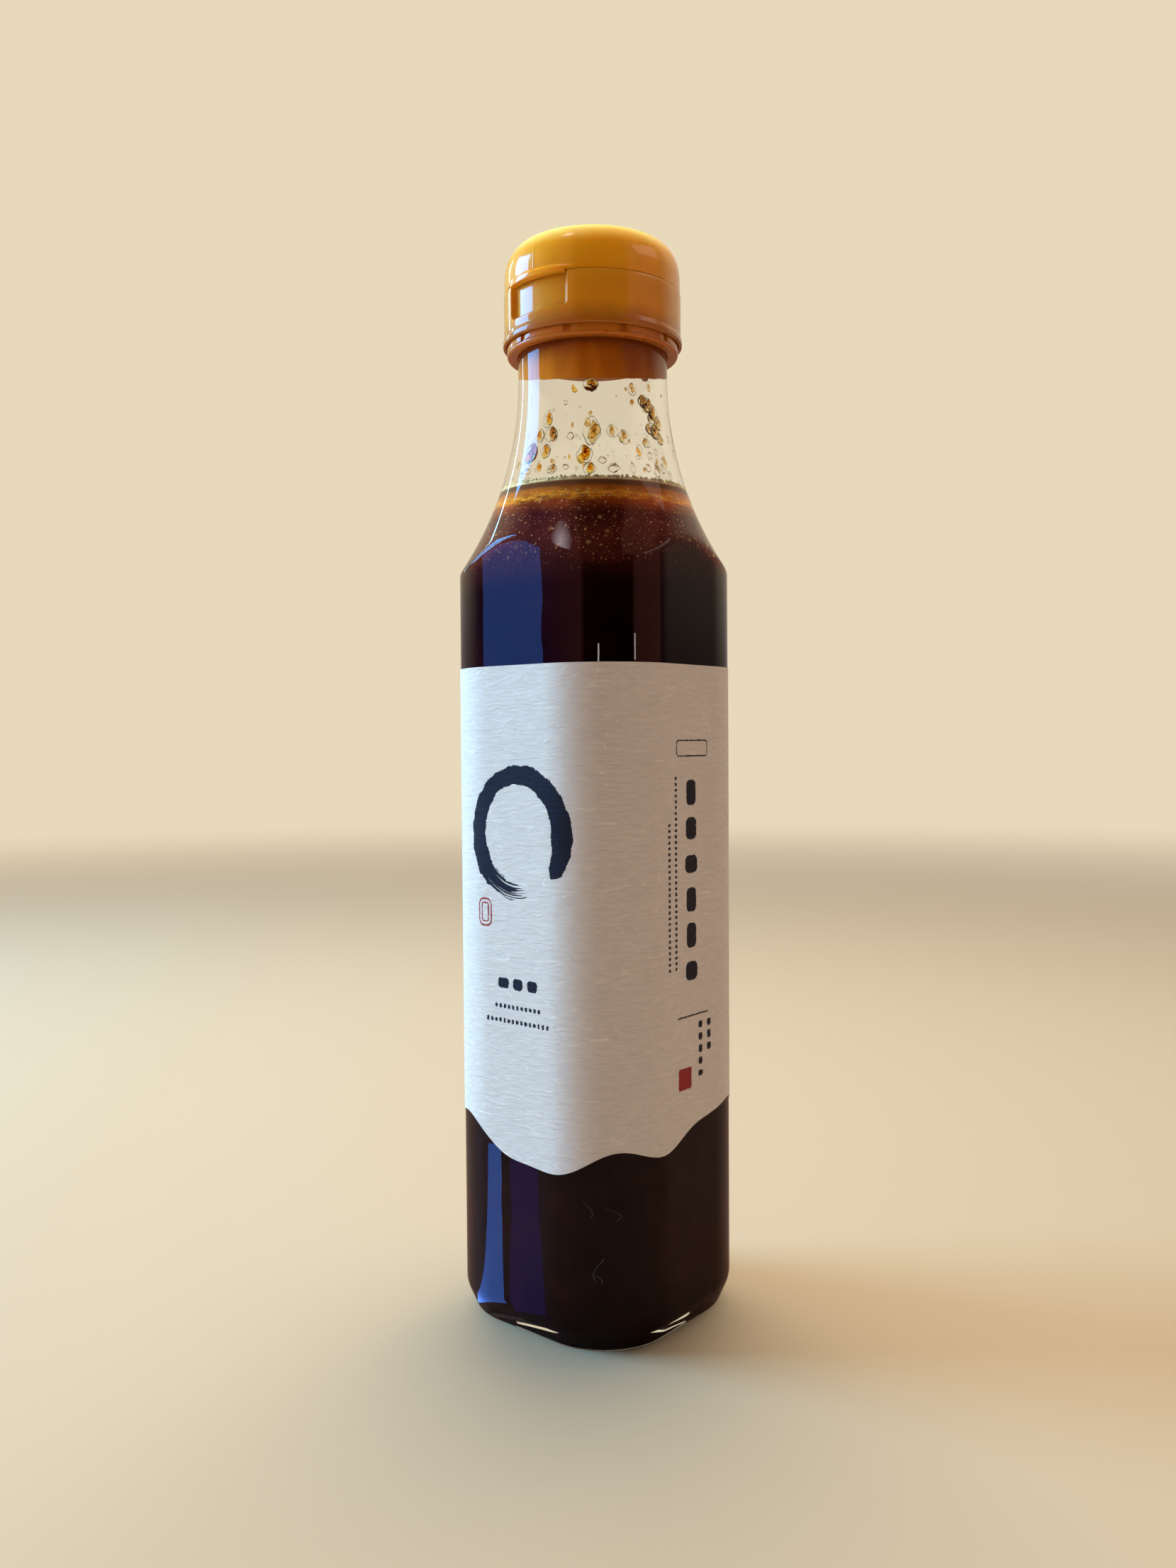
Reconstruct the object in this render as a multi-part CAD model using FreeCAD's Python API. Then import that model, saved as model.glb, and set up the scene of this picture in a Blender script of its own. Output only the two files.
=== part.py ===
import FreeCAD, Part
import math
import os

from FreeCAD import Vector

# Yakiniku sauce bottle, in millimetres. Z is up, the origin is at the middle of the base,
# and the front face, with the lip of the lid, looks along -Y. The hinge is at +Y.

# Glass body: a rounded square prism under a turned shoulder and neck
bodySide = 50.0
bodyCorner = 16.9
glassWall = 2.6
glassFloor = 3.2
heelInset = 2.3
heelHeight = 5.2
punchDepth = 1.0
punchRadius = 17.0

# Shoulder line: a cone at the crease, then one smooth curve up to the neck
coneRadius = 26.3
coneHeight = 158.4
coneAngle = 31.4
shoulderPull = 18.4
neckPull = 5.9
creaseBlend = 4.0

# Neck and its rim, which the closure snaps over
neckRadius = 15.7
neckStart = 195.5
mouthHeight = 211.0
beadRadius = 16.25
beadLow = 205.4
beadHigh = 208.2

# Contents
sauceLevel = 169.0
oilLevel = 172.1

# Paper label round all four faces, with a rolling lower edge
labelThick = 0.15
labelTop = 135.2
labelLow = 39.6
labelSwell = 3.3

# Closure
seamHeight = 213.0
seamGap = 0.1
collarLow = 202.4
collarRadius = 18.6
collarBead = 18.85
collarBore = 16.35
collarSkirt = 18.1
collarStep = 203.9
deckHeight = 212.4
spoutRadius = 8.0
spoutBore = 6.7
spoutTop = 217.6
bandLow = 200.4
bandRadius = 18.0
bandSlots = 10
slotWidth = 1.5
slotDepth = 0.45
plugLow = 202.6
plugRadius = 12.4
plugSeal = 13.02
plugWall = 1.15
lidTop = 222.9
lidRadius = 18.45
lidWall = 1.35
edgeAcross = 4.4
edgeDown = 6.8
lipCircle = 14.6
lipReach = 19.4
lipTop = 214.5
lipDrop = 0.4
recessAngle = 24.5
recessLow = 205.9
recessFloor = 17.35

# Hinge across the back of the seam
hingeReach = 18.9
hingeRadius = 0.9
hingeGap = 0.15
knuckleInner = 2.2
knuckleOuter = 6.2

up = Vector(0, 0, 1)
origin = Vector(0, 0, 0)


def squareFace(side, corner, z):
    half = side / 2.0
    flat = half - corner
    edges = []
    for turn in range(4):
        angle = math.radians(90 * turn)
        cosA = math.cos(angle)
        sinA = math.sin(angle)

        def spot(x, y):
            return Vector(x * cosA - y * sinA, x * sinA + y * cosA, z)

        diagonal = flat + corner * math.sqrt(0.5)
        edges.append(Part.LineSegment(spot(-flat, -half), spot(flat, -half)).toShape())
        edges.append(Part.Arc(spot(flat, -half), spot(diagonal, -diagonal), spot(half, -flat)).toShape())
    return Part.Face(Part.Wire(edges))


def prism(side, corner, low, high):
    return squareFace(side, corner, low).extrude(Vector(0, 0, high - low))


def turned(points):
    wire = Part.makePolygon([Vector(r, 0, z) for r, z in points + points[:1]])
    return Part.Face(wire).revolve(origin, up, 360)


def turnedEdges(edges):
    return Part.Face(Part.Wire(edges)).revolve(origin, up, 360)


def ring(outer, inner, low, high):
    return turned([(inner, low), (outer, low), (outer, high), (inner, high)])


def line(a, b):
    return Part.LineSegment(Vector(a[0], 0, a[1]), Vector(b[0], 0, b[1])).toShape()


def quarterEllipse(centre, across, down):
    middle = Vector(centre[0], 0, centre[1])
    if across >= down:
        oval = Part.Ellipse(middle + Vector(across, 0, 0), middle + Vector(0, 0, down), middle)
        start = 0.0
    else:
        oval = Part.Ellipse(middle + Vector(0, 0, down), middle + Vector(-across, 0, 0), middle)
        start = 1.5 * math.pi
    return Part.ArcOfEllipse(oval, start, start + 0.5 * math.pi).toShape()


def envelope(inset, low, high):
    # The turned shape that trims the prism, drawn in by the wall for the hollow inside
    angle = math.radians(coneAngle)
    across = Vector(-math.sin(angle), 0, math.cos(angle))
    outward = Vector(math.cos(angle), 0, math.sin(angle))
    start = Vector(coneRadius, 0, coneHeight) - outward * inset
    foot = start - across * 11.0
    end = Vector(neckRadius - inset, 0, neckStart)
    curve = Part.BezierCurve()
    curve.setPoles([start, start + across * shoulderPull, end - up * neckPull, end])
    top = Vector(neckRadius - inset, 0, high)
    edges = [
        line((0, low), (foot.x, low)),
        line((foot.x, low), (foot.x, foot.z)),
        line((foot.x, foot.z), (start.x, start.z)),
        curve.toShape(),
        line((end.x, end.z), (top.x, top.z)),
        line((top.x, high), (0, high)),
        line((0, high), (0, low)),
    ]
    return turnedEdges(edges)


def edgesWithin(shape, low, high):
    return [e for e in shape.Edges if e.BoundBox.ZMin > low and e.BoundBox.ZMax < high]


def cavity():
    side = bodySide - 2 * glassWall
    hollow = prism(side, bodyCorner - glassWall, glassFloor, mouthHeight)
    hollow = hollow.makeFillet(4.0, edgesWithin(hollow, glassFloor - 0.1, glassFloor + 0.1))
    hollow = hollow.common(envelope(glassWall, glassFloor - 1, mouthHeight))
    crease = edgesWithin(hollow, coneHeight - 12, coneHeight + 8)
    return hollow.makeFillet(creaseBlend * 0.6, crease)


def bottleGlass():
    body = prism(bodySide, bodyCorner, 0, mouthHeight)
    body = body.makeChamfer(heelHeight, heelInset, edgesWithin(body, -0.1, 0.1))
    body = body.makeFillet(6.0, edgesWithin(body, heelHeight - 0.1, heelHeight + 0.1))
    body = body.makeFillet(1.2, edgesWithin(body, -0.1, 0.1))
    body = body.common(envelope(0, -1, mouthHeight))
    crease = edgesWithin(body, coneHeight - 12, coneHeight + 8)
    body = body.makeFillet(creaseBlend, crease)
    bead = ring(beadRadius, neckRadius - 1, beadLow, beadHigh)
    bead = bead.makeFillet(0.45, [e for e in bead.Edges if e.BoundBox.XMax > beadRadius - 0.01])
    body = body.fuse(bead)
    ballRadius = (punchRadius ** 2 + punchDepth ** 2) / (2 * punchDepth)
    punch = Part.makeSphere(ballRadius, Vector(0, 0, punchDepth - ballRadius))
    return body.cut(punch).cut(cavity())


def contents(low, high):
    slab = Part.makeBox(80, 80, high - low, Vector(-40, -40, low))
    return cavity().common(slab)


def labelEdge(angle):
    # Height of the lower edge at a bearing round the bottle
    roll = math.sin(2 * angle + 0.9) + 0.55 * math.sin(5 * angle - 0.6)
    return labelLow + labelSwell * (roll + 0.25 * math.sin(9 * angle + 2.0))


def edgeCurve(radius):
    points = []
    for step in range(72):
        angle = 2 * math.pi * step / 72
        points.append(Vector(radius * math.cos(angle), radius * math.sin(angle), labelEdge(angle)))
    curve = Part.BSplineCurve()
    curve.interpolate(Points=points, PeriodicFlag=True)
    return curve.toShape()


def labelPaper():
    import BOPTools.SplitAPI
    low = labelLow - 3 * labelSwell
    side = bodySide + 2 * labelThick
    sleeve = prism(side, bodyCorner + labelThick, low, labelTop)
    sleeve = sleeve.cut(prism(bodySide, bodyCorner, low - 1, labelTop + 1))
    knife = Part.makeRuledSurface(edgeCurve(20.0), edgeCurve(36.0))
    pieces = BOPTools.SplitAPI.slice(sleeve, [knife], "Split").Solids
    return max(pieces, key=lambda piece: piece.BoundBox.ZMax)


def hingeRod(low, high, radius):
    rod = Part.makeCylinder(radius, high - low, Vector(low, hingeReach, seamHeight), Vector(1, 0, 0))
    return rod


def recessCutter():
    half = recessFloor * math.sin(math.radians(recessAngle)) + 0.35
    block = Part.makeBox(2 * half, 12, 12, Vector(-half, -26, recessLow))
    corners = [e for e in block.Edges if e.BoundBox.ZMax < recessLow + 0.01 and e.BoundBox.YLength > 1]
    block = block.makeFillet(1.2, corners)
    return block.cut(Part.makeCylinder(recessFloor, 30, Vector(0, 0, 200)))


def capCollar():
    outer = [
        (collarSkirt, collarLow + 0.35),
        (collarSkirt + 0.25, collarLow),
        (collarBead - 0.2, collarLow),
        (collarBead, collarLow + 0.3),
        (collarBead, collarLow + 1.1),
        (collarRadius, collarLow + 1.9),
        (collarRadius, seamHeight - 0.25),
        (collarRadius - 0.25, seamHeight),
        (lidRadius - 2.0, seamHeight),
        (lidRadius - 2.4, deckHeight),
        (spoutRadius + 0.5, deckHeight),
        (spoutRadius, deckHeight + 0.5),
        (spoutRadius, spoutTop - 1.2),
        (spoutRadius + 0.7, spoutTop - 0.5),
        (spoutRadius + 0.5, spoutTop),
        (spoutBore + 0.3, spoutTop),
        (spoutBore, spoutTop - 0.3),
        (spoutBore, deckHeight),
        (0, deckHeight),
        (0, mouthHeight),
        (collarBore, mouthHeight),
        (collarBore, collarStep),
        (collarSkirt, collarStep),
    ]
    shell = turned(outer)
    shell = shell.cut(recessCutter())
    shell = shell.cut(hingeRod(-knuckleInner, knuckleInner, hingeRadius + hingeGap))
    for side in (-1, 1):
        low = min(side * (knuckleInner + 0.1), side * knuckleOuter)
        length = knuckleOuter - knuckleInner - 0.1
        web = Part.makeBox(length, hingeReach - 17.0, 0.9, Vector(low, 17.0, seamHeight - 0.9))
        shell = shell.fuse(web).fuse(hingeRod(low, low + length, hingeRadius))
    return shell.removeSplitter()


def capBand():
    low = bandLow
    band = turned([
        (neckRadius + 0.05, low),
        (bandRadius - 0.5, low),
        (bandRadius - 0.15, low + 0.15),
        (bandRadius, low + 0.5),
        (bandRadius, collarStep),
        (neckRadius + 0.05, collarStep),
    ])
    for index in range(bandSlots):
        angle = 360.0 * index / bandSlots + 3.0
        slot = Part.makeBox(slotDepth + 1, slotWidth, collarStep - low, Vector(bandRadius - slotDepth, 0, low + 0.7))
        slot.rotate(origin, up, angle)
        band = band.cut(slot)
    return band


def capPlug():
    low = plugLow
    bore = plugRadius - plugWall
    return turned([
        (bore + 0.4, low),
        (plugRadius - 0.1, low),
        (plugSeal, low + 0.9),
        (plugSeal, low + 1.5),
        (plugRadius, low + 2.6),
        (plugRadius, mouthHeight),
        (bore, mouthHeight),
        (bore, low + 0.4),
    ])


def lidProfile(inset, low):
    centre = (lidRadius - edgeAcross, lidTop - edgeDown)
    top = lidTop - inset
    edges = [
        line((0, low), (lidRadius - inset, low)),
        line((lidRadius - inset, low), (lidRadius - inset, centre[1])),
        quarterEllipse(centre, edgeAcross - inset, edgeDown - inset),
        line((centre[0], top), (0, top)),
        line((0, top), (0, low)),
    ]
    return turnedEdges(edges)


def lipSolid():
    # A crescent under the front of the lid, with a tab that drops into the thumb recess
    centre = Vector(0, lipCircle - lipReach, seamHeight + seamGap)
    level = lipTop - 0.8 - centre.z
    crescent = Part.makeCylinder(lipCircle, level, centre)
    crescent = crescent.fuse(Part.makeCone(lipCircle, lipCircle - 0.9, 0.8, centre + up * level))
    drop = lipDrop + seamGap
    tab = Part.makeCylinder(lipCircle, drop, centre - up * drop)
    half = recessFloor * math.sin(math.radians(recessAngle)) - 0.1
    tab = tab.common(Part.makeBox(2 * half, 30, 4, Vector(-half, -30, centre.z - 2)))
    tab = tab.cut(Part.makeCylinder(recessFloor + 0.2, 20, Vector(0, 0, 205)))
    core = Part.makeCylinder(lidRadius - lidWall, 20, Vector(0, 0, 205))
    return crescent.cut(core).fuse(tab)


def capLid():
    low = seamHeight + seamGap
    shell = lidProfile(0, low).cut(lidProfile(lidWall, low - 1))
    shell = shell.fuse(lipSolid())
    for side in (-1, 1):
        near = min(side * knuckleInner, side * (knuckleOuter + 0.1))
        far = max(side * knuckleInner, side * (knuckleOuter + 0.1))
        shell = shell.cut(hingeRod(near, far, hingeRadius + hingeGap))
    inner = knuckleInner - 0.1
    web = Part.makeBox(2 * inner, hingeReach - 17.2, 0.8, Vector(-inner, 17.2, low))
    shell = shell.fuse(web).fuse(hingeRod(-inner, inner, hingeRadius))
    return shell.removeSplitter()


parts = {
    "bottle_glass": bottleGlass(),
    "sauce": contents(glassFloor - 1, sauceLevel),
    "oil_layer": contents(sauceLevel, oilLevel),
    "label_paper": labelPaper(),
    "cap_collar": capCollar(),
    "cap_band": capBand(),
    "cap_plug": capPlug(),
    "cap_lid": capLid(),
}

os.makedirs("parts", exist_ok=True)
for name, shape in parts.items():
    solid = shape.Solids[0]
    print(name, len(shape.Solids), solid.isValid(), round(solid.Volume / 1000, 2), "ml")
    solid.exportStep("parts/" + name + ".step")
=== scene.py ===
import math

import bmesh
import bpy
import numpy as np
from mathutils import Matrix, Vector, noise


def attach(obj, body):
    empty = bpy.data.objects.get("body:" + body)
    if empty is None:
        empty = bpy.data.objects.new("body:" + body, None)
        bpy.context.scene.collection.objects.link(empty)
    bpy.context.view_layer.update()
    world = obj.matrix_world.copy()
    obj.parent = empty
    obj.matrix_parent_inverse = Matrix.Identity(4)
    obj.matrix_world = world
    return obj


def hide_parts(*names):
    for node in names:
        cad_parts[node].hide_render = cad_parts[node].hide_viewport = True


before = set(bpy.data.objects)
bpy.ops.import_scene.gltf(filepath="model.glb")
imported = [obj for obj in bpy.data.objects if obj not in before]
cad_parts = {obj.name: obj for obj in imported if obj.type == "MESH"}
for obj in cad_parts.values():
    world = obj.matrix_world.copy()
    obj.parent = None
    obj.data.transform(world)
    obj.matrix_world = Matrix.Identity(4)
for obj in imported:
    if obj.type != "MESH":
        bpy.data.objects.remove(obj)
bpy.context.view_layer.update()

mm = 0.001
print("frame loaded:", ", ".join(sorted(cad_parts)))


# A value in a node tree that takes part in plain sums
class Wire:
    def __init__(self, tree, socket):
        self.tree, self.socket = tree, socket

    def op(self, operation, *rest):
        return wire(self.tree, "ShaderNodeMath", dict(enumerate((self, *rest))), operation=operation)

    def __add__(self, other):
        return self.op("ADD", other)

    def __sub__(self, other):
        return self.op("SUBTRACT", other)

    def __mul__(self, other):
        return self.op("MULTIPLY", other)

    def __truediv__(self, other):
        return self.op("DIVIDE", other)

    def __rsub__(self, other):
        return wire(self.tree, "ShaderNodeMath", {0: other, 1: self}, operation="SUBTRACT")

    def __rtruediv__(self, other):
        return wire(self.tree, "ShaderNodeMath", {0: other, 1: self}, operation="DIVIDE")

    def __abs__(self):
        return self.op("ABSOLUTE")

    def remap(self, low, high, start=0.0, end=1.0, smooth=False):
        ranges = {"Value": self, 1: low, 2: high, 3: start, 4: end}
        course = "SMOOTHSTEP" if smooth else "LINEAR"
        return wire(self.tree, "ShaderNodeMapRange", ranges, interpolation_type=course)


def feed(socket, value):
    # Links a wire or writes a plain value
    if isinstance(value, Wire):
        value.tree.links.new(value.socket, socket)
    else:
        socket.default_value = value


def addNode(tree, kind, inputs=None, **settings):
    node = tree.nodes.new(kind)
    for name, value in settings.items():
        setattr(node, name, value)
    for key, value in (inputs or {}).items():
        feed(node.inputs[key], value)
    return node


def wire(tree, kind, inputs=None, output=0, **settings):
    return Wire(tree, addNode(tree, kind, inputs, **settings).outputs[output])


def objectPlace(tree):
    return wire(tree, "ShaderNodeTexCoord", output="Object")


def rayIs(tree, kind):
    return wire(tree, "ShaderNodeLightPath", output=kind)


def split(tree, vector):
    return [Wire(tree, socket) for socket in addNode(tree, "ShaderNodeSeparateXYZ", {0: vector}).outputs]


def vectorOf(tree, x, y=0.0, z=0.0):
    return wire(tree, "ShaderNodeCombineXYZ", {0: x, 1: y, 2: z})


def noiseAt(tree, place, scale, detail, **more):
    return wire(tree, "ShaderNodeTexNoise", {"Vector": place, "Scale": scale, "Detail": detail, **more}, "Fac")


def cellsAt(tree, place, scale):
    # Distance to the middle of each cell, and a random tone for the whole cell
    cells = addNode(tree, "ShaderNodeTexVoronoi", {"Vector": place, "Scale": scale})
    tone = wire(tree, "ShaderNodeSeparateColor", {0: Wire(tree, cells.outputs["Color"])})
    return Wire(tree, cells.outputs["Distance"]), tone


def stretch(tree, place, scale, **more):
    return wire(tree, "ShaderNodeMapping", {"Vector": place, "Scale": scale, **more})


def slant(a, b):
    return (a * a + b * b).op("SQRT")


def addInputs(tree, inputs):
    # Named inputs with plain values; a material where the value is None
    kinds = {float: "NodeSocketFloat", int: "NodeSocketInt", type(None): "NodeSocketMaterial"}
    for label, value in inputs.items():
        socket = tree.interface.new_socket(label, in_out="INPUT", socket_type=kinds[type(value)])
        if value is not None:
            socket.default_value = value
    start = tree.nodes.new("NodeGroupInput")
    return {socket.name: Wire(tree, socket) for socket in start.outputs}


def closeWith(tree, label, kind, value):
    tree.interface.new_socket(label, in_out="OUTPUT", socket_type=kind)
    feed(tree.nodes.new("NodeGroupOutput").inputs[0], value)
    return tree


# Small helpers for meshes

def finishShape(piece, sharpAngle=32):
    # Clean doubles, point the faces outwards, shade smooth with crisp edges kept
    work = bmesh.new()
    work.from_mesh(piece.data)
    bmesh.ops.remove_doubles(work, verts=work.verts, dist=0.000002)
    bmesh.ops.dissolve_degenerate(work, edges=work.edges, dist=0.000001)
    bmesh.ops.recalc_face_normals(work, faces=work.faces)
    work.to_mesh(piece.data)
    work.free()
    piece.data.shade_smooth()
    piece.data.set_sharp_from_angle(angle=math.radians(sharpAngle))


def placeObject(name, data):
    thing = bpy.data.objects.new(name, data)
    bpy.context.scene.collection.objects.link(thing)
    return thing


def newPiece(name, verts, faces, material, sharpAngle=32):
    mesh = bpy.data.meshes.new(name)
    mesh.from_pydata([tuple(v) for v in verts], [], faces)
    mesh.materials.append(material)
    piece = placeObject(name, mesh)
    finishShape(piece, sharpAngle)
    return piece


def gridFaces(columns, count, wrapColumns=True, wrapRows=False, flip=False):
    # Faces between neighbouring columns of points, each column holding count points
    faces = []
    for column in range(columns if wrapColumns else columns - 1):
        here, beside = column * count, (column + 1) % columns * count
        for row in range(count if wrapRows else count - 1):
            above = (row + 1) % count
            first, *rest = here + row, beside + row, beside + above, here + above
            faces.append((first, *(reversed(rest) if flip else rest)))
    return faces


def waysAt(turn):
    # The ways out from the axis and across it, at a turn from the front
    return Vector((math.sin(turn), -math.cos(turn), 0.0)), Vector((math.cos(turn), math.sin(turn), 0.0))


def ringSpot(radius, turn, z):
    return radius * math.cos(turn) * mm, radius * math.sin(turn) * mm, z * mm


def joined(parts):
    verts, faces = [], []
    for partVerts, partFaces in parts:
        base = len(verts)
        verts += partVerts
        faces += [tuple(base + index for index in face) for face in partFaces]
    return verts, faces


def easeCorners(points, radii, steps=5):
    # Rounds the corners of an open line of points; a radius of 0 keeps a corner
    line = [points[0]]
    for index in range(1, len(points) - 1):
        corner = Vector(points[index])
        radius = radii[index]
        if radius <= 0:
            line.append(points[index])
            continue
        before = (Vector(points[index - 1]) - corner).normalized()
        after = (Vector(points[index + 1]) - corner).normalized()
        half = before.angle(after) / 2
        reach = radius / math.tan(half)
        centre = corner + (before + after).normalized() * (radius / math.sin(half))
        first = corner + before * reach - centre
        last = corner + after * reach - centre
        sweep = first.angle_signed(last)
        for step in range(steps + 1):
            turn = -sweep * step / steps
            spoke = Vector((first.x * math.cos(turn) - first.y * math.sin(turn),
                            first.x * math.sin(turn) + first.y * math.cos(turn)))
            line.append(tuple(centre + spoke))
    line.append(points[-1])
    return line


def shareOut(points, step):
    # Adds points so that no stretch of the line is longer than the step
    line = [points[0]]
    for a, b in zip(points, points[1:]):
        count = max(1, math.ceil(math.dist(a, b) / step))
        for index in range(1, count + 1):
            t = index / count
            line.append(tuple(p + (q - p) * t for p, q in zip(a, b)))
    return line


# Shader groups used by more than one finish

def newGroup(name, inputs):
    group = bpy.data.node_groups.new(name, "ShaderNodeTree")
    return group, addInputs(group, inputs)


def closeGroup(group, label, value):
    return closeWith(group, label, "NodeSocketFloat", value)


def buildWaver():
    # Slow swells and fine specks in height, for blown glass and moulded plastic
    group, into = newGroup("surfaceWaver", {"Swell Size": 40.0, "Fine Size": 600.0, "Fine Share": 0.1})
    place = objectPlace(group)
    swell = noiseAt(group, place, into["Swell Size"], 1.0)
    fine = noiseAt(group, place, into["Fine Size"], 2.0)
    return closeGroup(group, "Height", swell + fine * into["Fine Share"])


inkEdge = 0.04  # half the soft edge of ink on paper, in millimetres


def buildPatch():
    # A rounded rectangle of ink in the label's own millimetres, with a slightly ragged edge
    group, into = newGroup("inkPatch", {
        "Across": 0.0, "Up": 0.0, "Centre Across": 0.0, "Centre Up": 0.0, "Half Width": 1.0,
        "Half Height": 1.0, "Round": 0.3, "Ragged": 0.0, "Hollow": 100.0,
    })
    aside = abs(into["Across"] - into["Centre Across"]) - (into["Half Width"] - into["Round"])
    above = abs(into["Up"] - into["Centre Up"]) - (into["Half Height"] - into["Round"])
    outside = slant(aside.op("MAXIMUM", 0.0), above.op("MAXIMUM", 0.0))
    inside = aside.op("MAXIMUM", above).op("MINIMUM", 0.0)
    distance = outside + inside - into["Round"] + into["Ragged"]
    filled = distance.remap(-inkEdge, inkEdge, 1.0, 0.0)
    cut = (distance + into["Hollow"]).remap(-inkEdge, inkEdge)
    return closeGroup(group, "Mask", filled * cut)


def buildMarks():
    # A column or row of plain short brush dabs of uneven length, with dry streaks along each
    group, into = newGroup("inkMarks", {
        "Along": 0.0, "Aside": 0.0, "Start": 0.0, "Side": 0.0, "Pitch": 1.0, "Count": 5.0, "Filled": 0.7,
        "Half Width": 0.5, "Ragged": 0.0, "Seed": 0.0, "Broken": 0.0,
    })
    run = (into["Along"] - into["Start"]) / into["Pitch"]
    cell = run.op("FLOOR")
    local = (run - cell - 0.5) * into["Pitch"]
    side = into["Aside"] - into["Side"]
    cast = wire(group, "ShaderNodeTexWhiteNoise", {"W": cell + into["Seed"]}, "Value", noise_dimensions="1D")
    half = into["Pitch"] * into["Filled"] * ((cast * 0.35 + 0.75) * 0.5)
    width = into["Half Width"] * (cast * -0.25 + 1.0)
    corner = half.op("MINIMUM", width) * 0.7
    alongGap = (abs(local) - (half - corner)).op("MAXIMUM", 0.0)
    asideGap = (abs(side) - (width - corner)).op("MAXIMUM", 0.0)
    distance = slant(alongGap, asideGap) - corner + into["Ragged"]
    filled = distance.remap(-inkEdge, inkEdge, 1.0, 0.0)
    spot = vectorOf(group, local / into["Half Width"] * 2.4, side / into["Half Width"] * 0.25,
                    cell * 3.7 + into["Seed"])
    gaps = noiseAt(group, spot, 1.0, 2.0).op("GREATER_THAN", into["Broken"])
    ends = cell.op("GREATER_THAN", -0.5) * cell.op("LESS_THAN", into["Count"] - 0.5)
    return closeGroup(group, "Mask", filled * (ends * gaps))


def buildSeam():
    # A wavering golden streak where the oil lies on the sauce, a painted glow of light coming through the oil
    group, into = newGroup("paintedSeamGlow", {"Level": 0.1683, "Waver": 0.0018, "Thickness": 0.0008})
    place = objectPlace(group)
    middle = (noiseAt(group, place, 120.0, 2.0) - 0.5) * into["Waver"] + into["Level"]
    band = (abs(split(group, place)[2] - middle) / into["Thickness"]).remap(0.2, 1.6, 1.0, 0.0, smooth=True)
    fine = noiseAt(group, stretch(group, place, (1.0, 1.0, 3.5)), 420.0, 4.0, Roughness=0.65)
    return closeGroup(group, "Mask", band * fine.remap(0.38, 0.62, 0.05, 1.0))


surfaceWaver = buildWaver()
paintedSeamGlow = buildSeam()
inkPatch = buildPatch()
inkMarks = buildMarks()


# Finishes

def newFinish(name, **values):
    # A Principled material with plain values on its sockets
    material = bpy.data.materials.new(name)
    material.use_nodes = True
    tree = material.node_tree
    tree.nodes.clear()
    shader = tree.nodes.new("ShaderNodeBsdfPrincipled")
    output = tree.nodes.new("ShaderNodeOutputMaterial")
    tree.links.new(shader.outputs[0], output.inputs["Surface"])
    for socket, value in values.items():
        shader.inputs[socket.replace("_", " ")].default_value = value
    return material, tree, shader.inputs


def mixSurface(tree, share, other):
    # Puts a second shader behind the one that feeds the surface
    surface = tree.get_output_node("ALL").inputs["Surface"]
    first = Wire(tree, surface.links[0].from_socket)
    feed(surface, wire(tree, "ShaderNodeMixShader", {0: share, 1: first, 2: other}))


def lampsPass(tree, tint):
    # Lamps reach what stands behind the glass
    clear = wire(tree, "ShaderNodeBsdfTransparent", {"Color": tint})
    mixSurface(tree, rayIs(tree, "Is Shadow Ray"), clear)


def addBump(tree, sockets, height, strength, distance):
    bump = {"Strength": strength, "Distance": distance, "Height": height}
    feed(sockets["Normal"], wire(tree, "ShaderNodeBump", bump))


def addWaver(tree, sockets, strength, distance, **sizes):
    # Bump from the shared waver, with its sizes
    sizes = {label.replace("_", " "): value for label, value in sizes.items()}
    height = wire(tree, "ShaderNodeGroup", sizes, node_tree=surfaceWaver)
    addBump(tree, sockets, height, strength, distance)


def colourBands(tree, value, stops):
    # A smooth run of colours along a value
    ramp = addNode(tree, "ShaderNodeValToRGB", {"Fac": value})
    elements = ramp.color_ramp.elements
    elements[0].position, elements[0].color = stops[0][0], (*stops[0][1], 1)
    elements[1].position, elements[1].color = stops[-1][0], (*stops[-1][1], 1)
    for position, colour in stops[1:-1]:
        elements.new(position).color = (*colour, 1)
    return Wire(tree, ramp.outputs["Color"])


def heightShare(tree, low, high):
    # 0 at one height of the bottle, 1 at another
    return split(tree, objectPlace(tree))[2].remap(low * mm, high * mm)


def mixColour(tree, share, a, b):
    node = addNode(tree, "ShaderNodeMix", {0: share}, data_type="RGBA")
    for socket, value in ((node.inputs[6], a), (node.inputs[7], b)):
        feed(socket, value if isinstance(value, Wire) else (*value, 1))
    return Wire(tree, node.outputs[2])


glassFinish = {"ior": 1.5, "tint": (0.985, 0.99, 0.985, 1), "waver": 0.12, "lampTint": (0.96, 0.97, 0.96, 1)}


def buildGlass():
    material, tree, sockets = newFinish(
        "clearGlass", Base_Color=glassFinish["tint"], Roughness=0.0, IOR=glassFinish["ior"],
        Transmission_Weight=1.0)
    addWaver(tree, sockets, glassFinish["waver"], 0.0006, Swell_Size=60.0, Fine_Share=0.0)
    lampsPass(tree, glassFinish["lampTint"])
    return material


sauceFinish = {
    # The shoulder and edge colours are painted light, lighter where light from above comes into the sauce
    "deep": (0.004, 0.0004, 0.0006),
    "middle": (0.008, 0.0009, 0.0011),
    "shoulder": (0.092, 0.016, 0.011),
    "edge": (0.62, 0.11, 0.012),
    "gold": (1.0, 0.36, 0.014),
    "fleck": (0.98, 0.52, 0.2),
    "shade": (0.02, 0.003, 0.002),
    # Grated solids under the oil: cell scale, dot size, strength, and how rare they are
    "flecks": (
        (420.0, 0.26, 0.3, 0.6), (850.0, 0.24, 0.6, 0.62), (1500.0, 0.26, 0.9, 0.7), (2600.0, 0.3, 0.8, 0.66),
    ),
}


def addSeam(tree, base, colour):
    return mixColour(tree, wire(tree, "ShaderNodeGroup", node_tree=paintedSeamGlow), base, colour)


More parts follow.
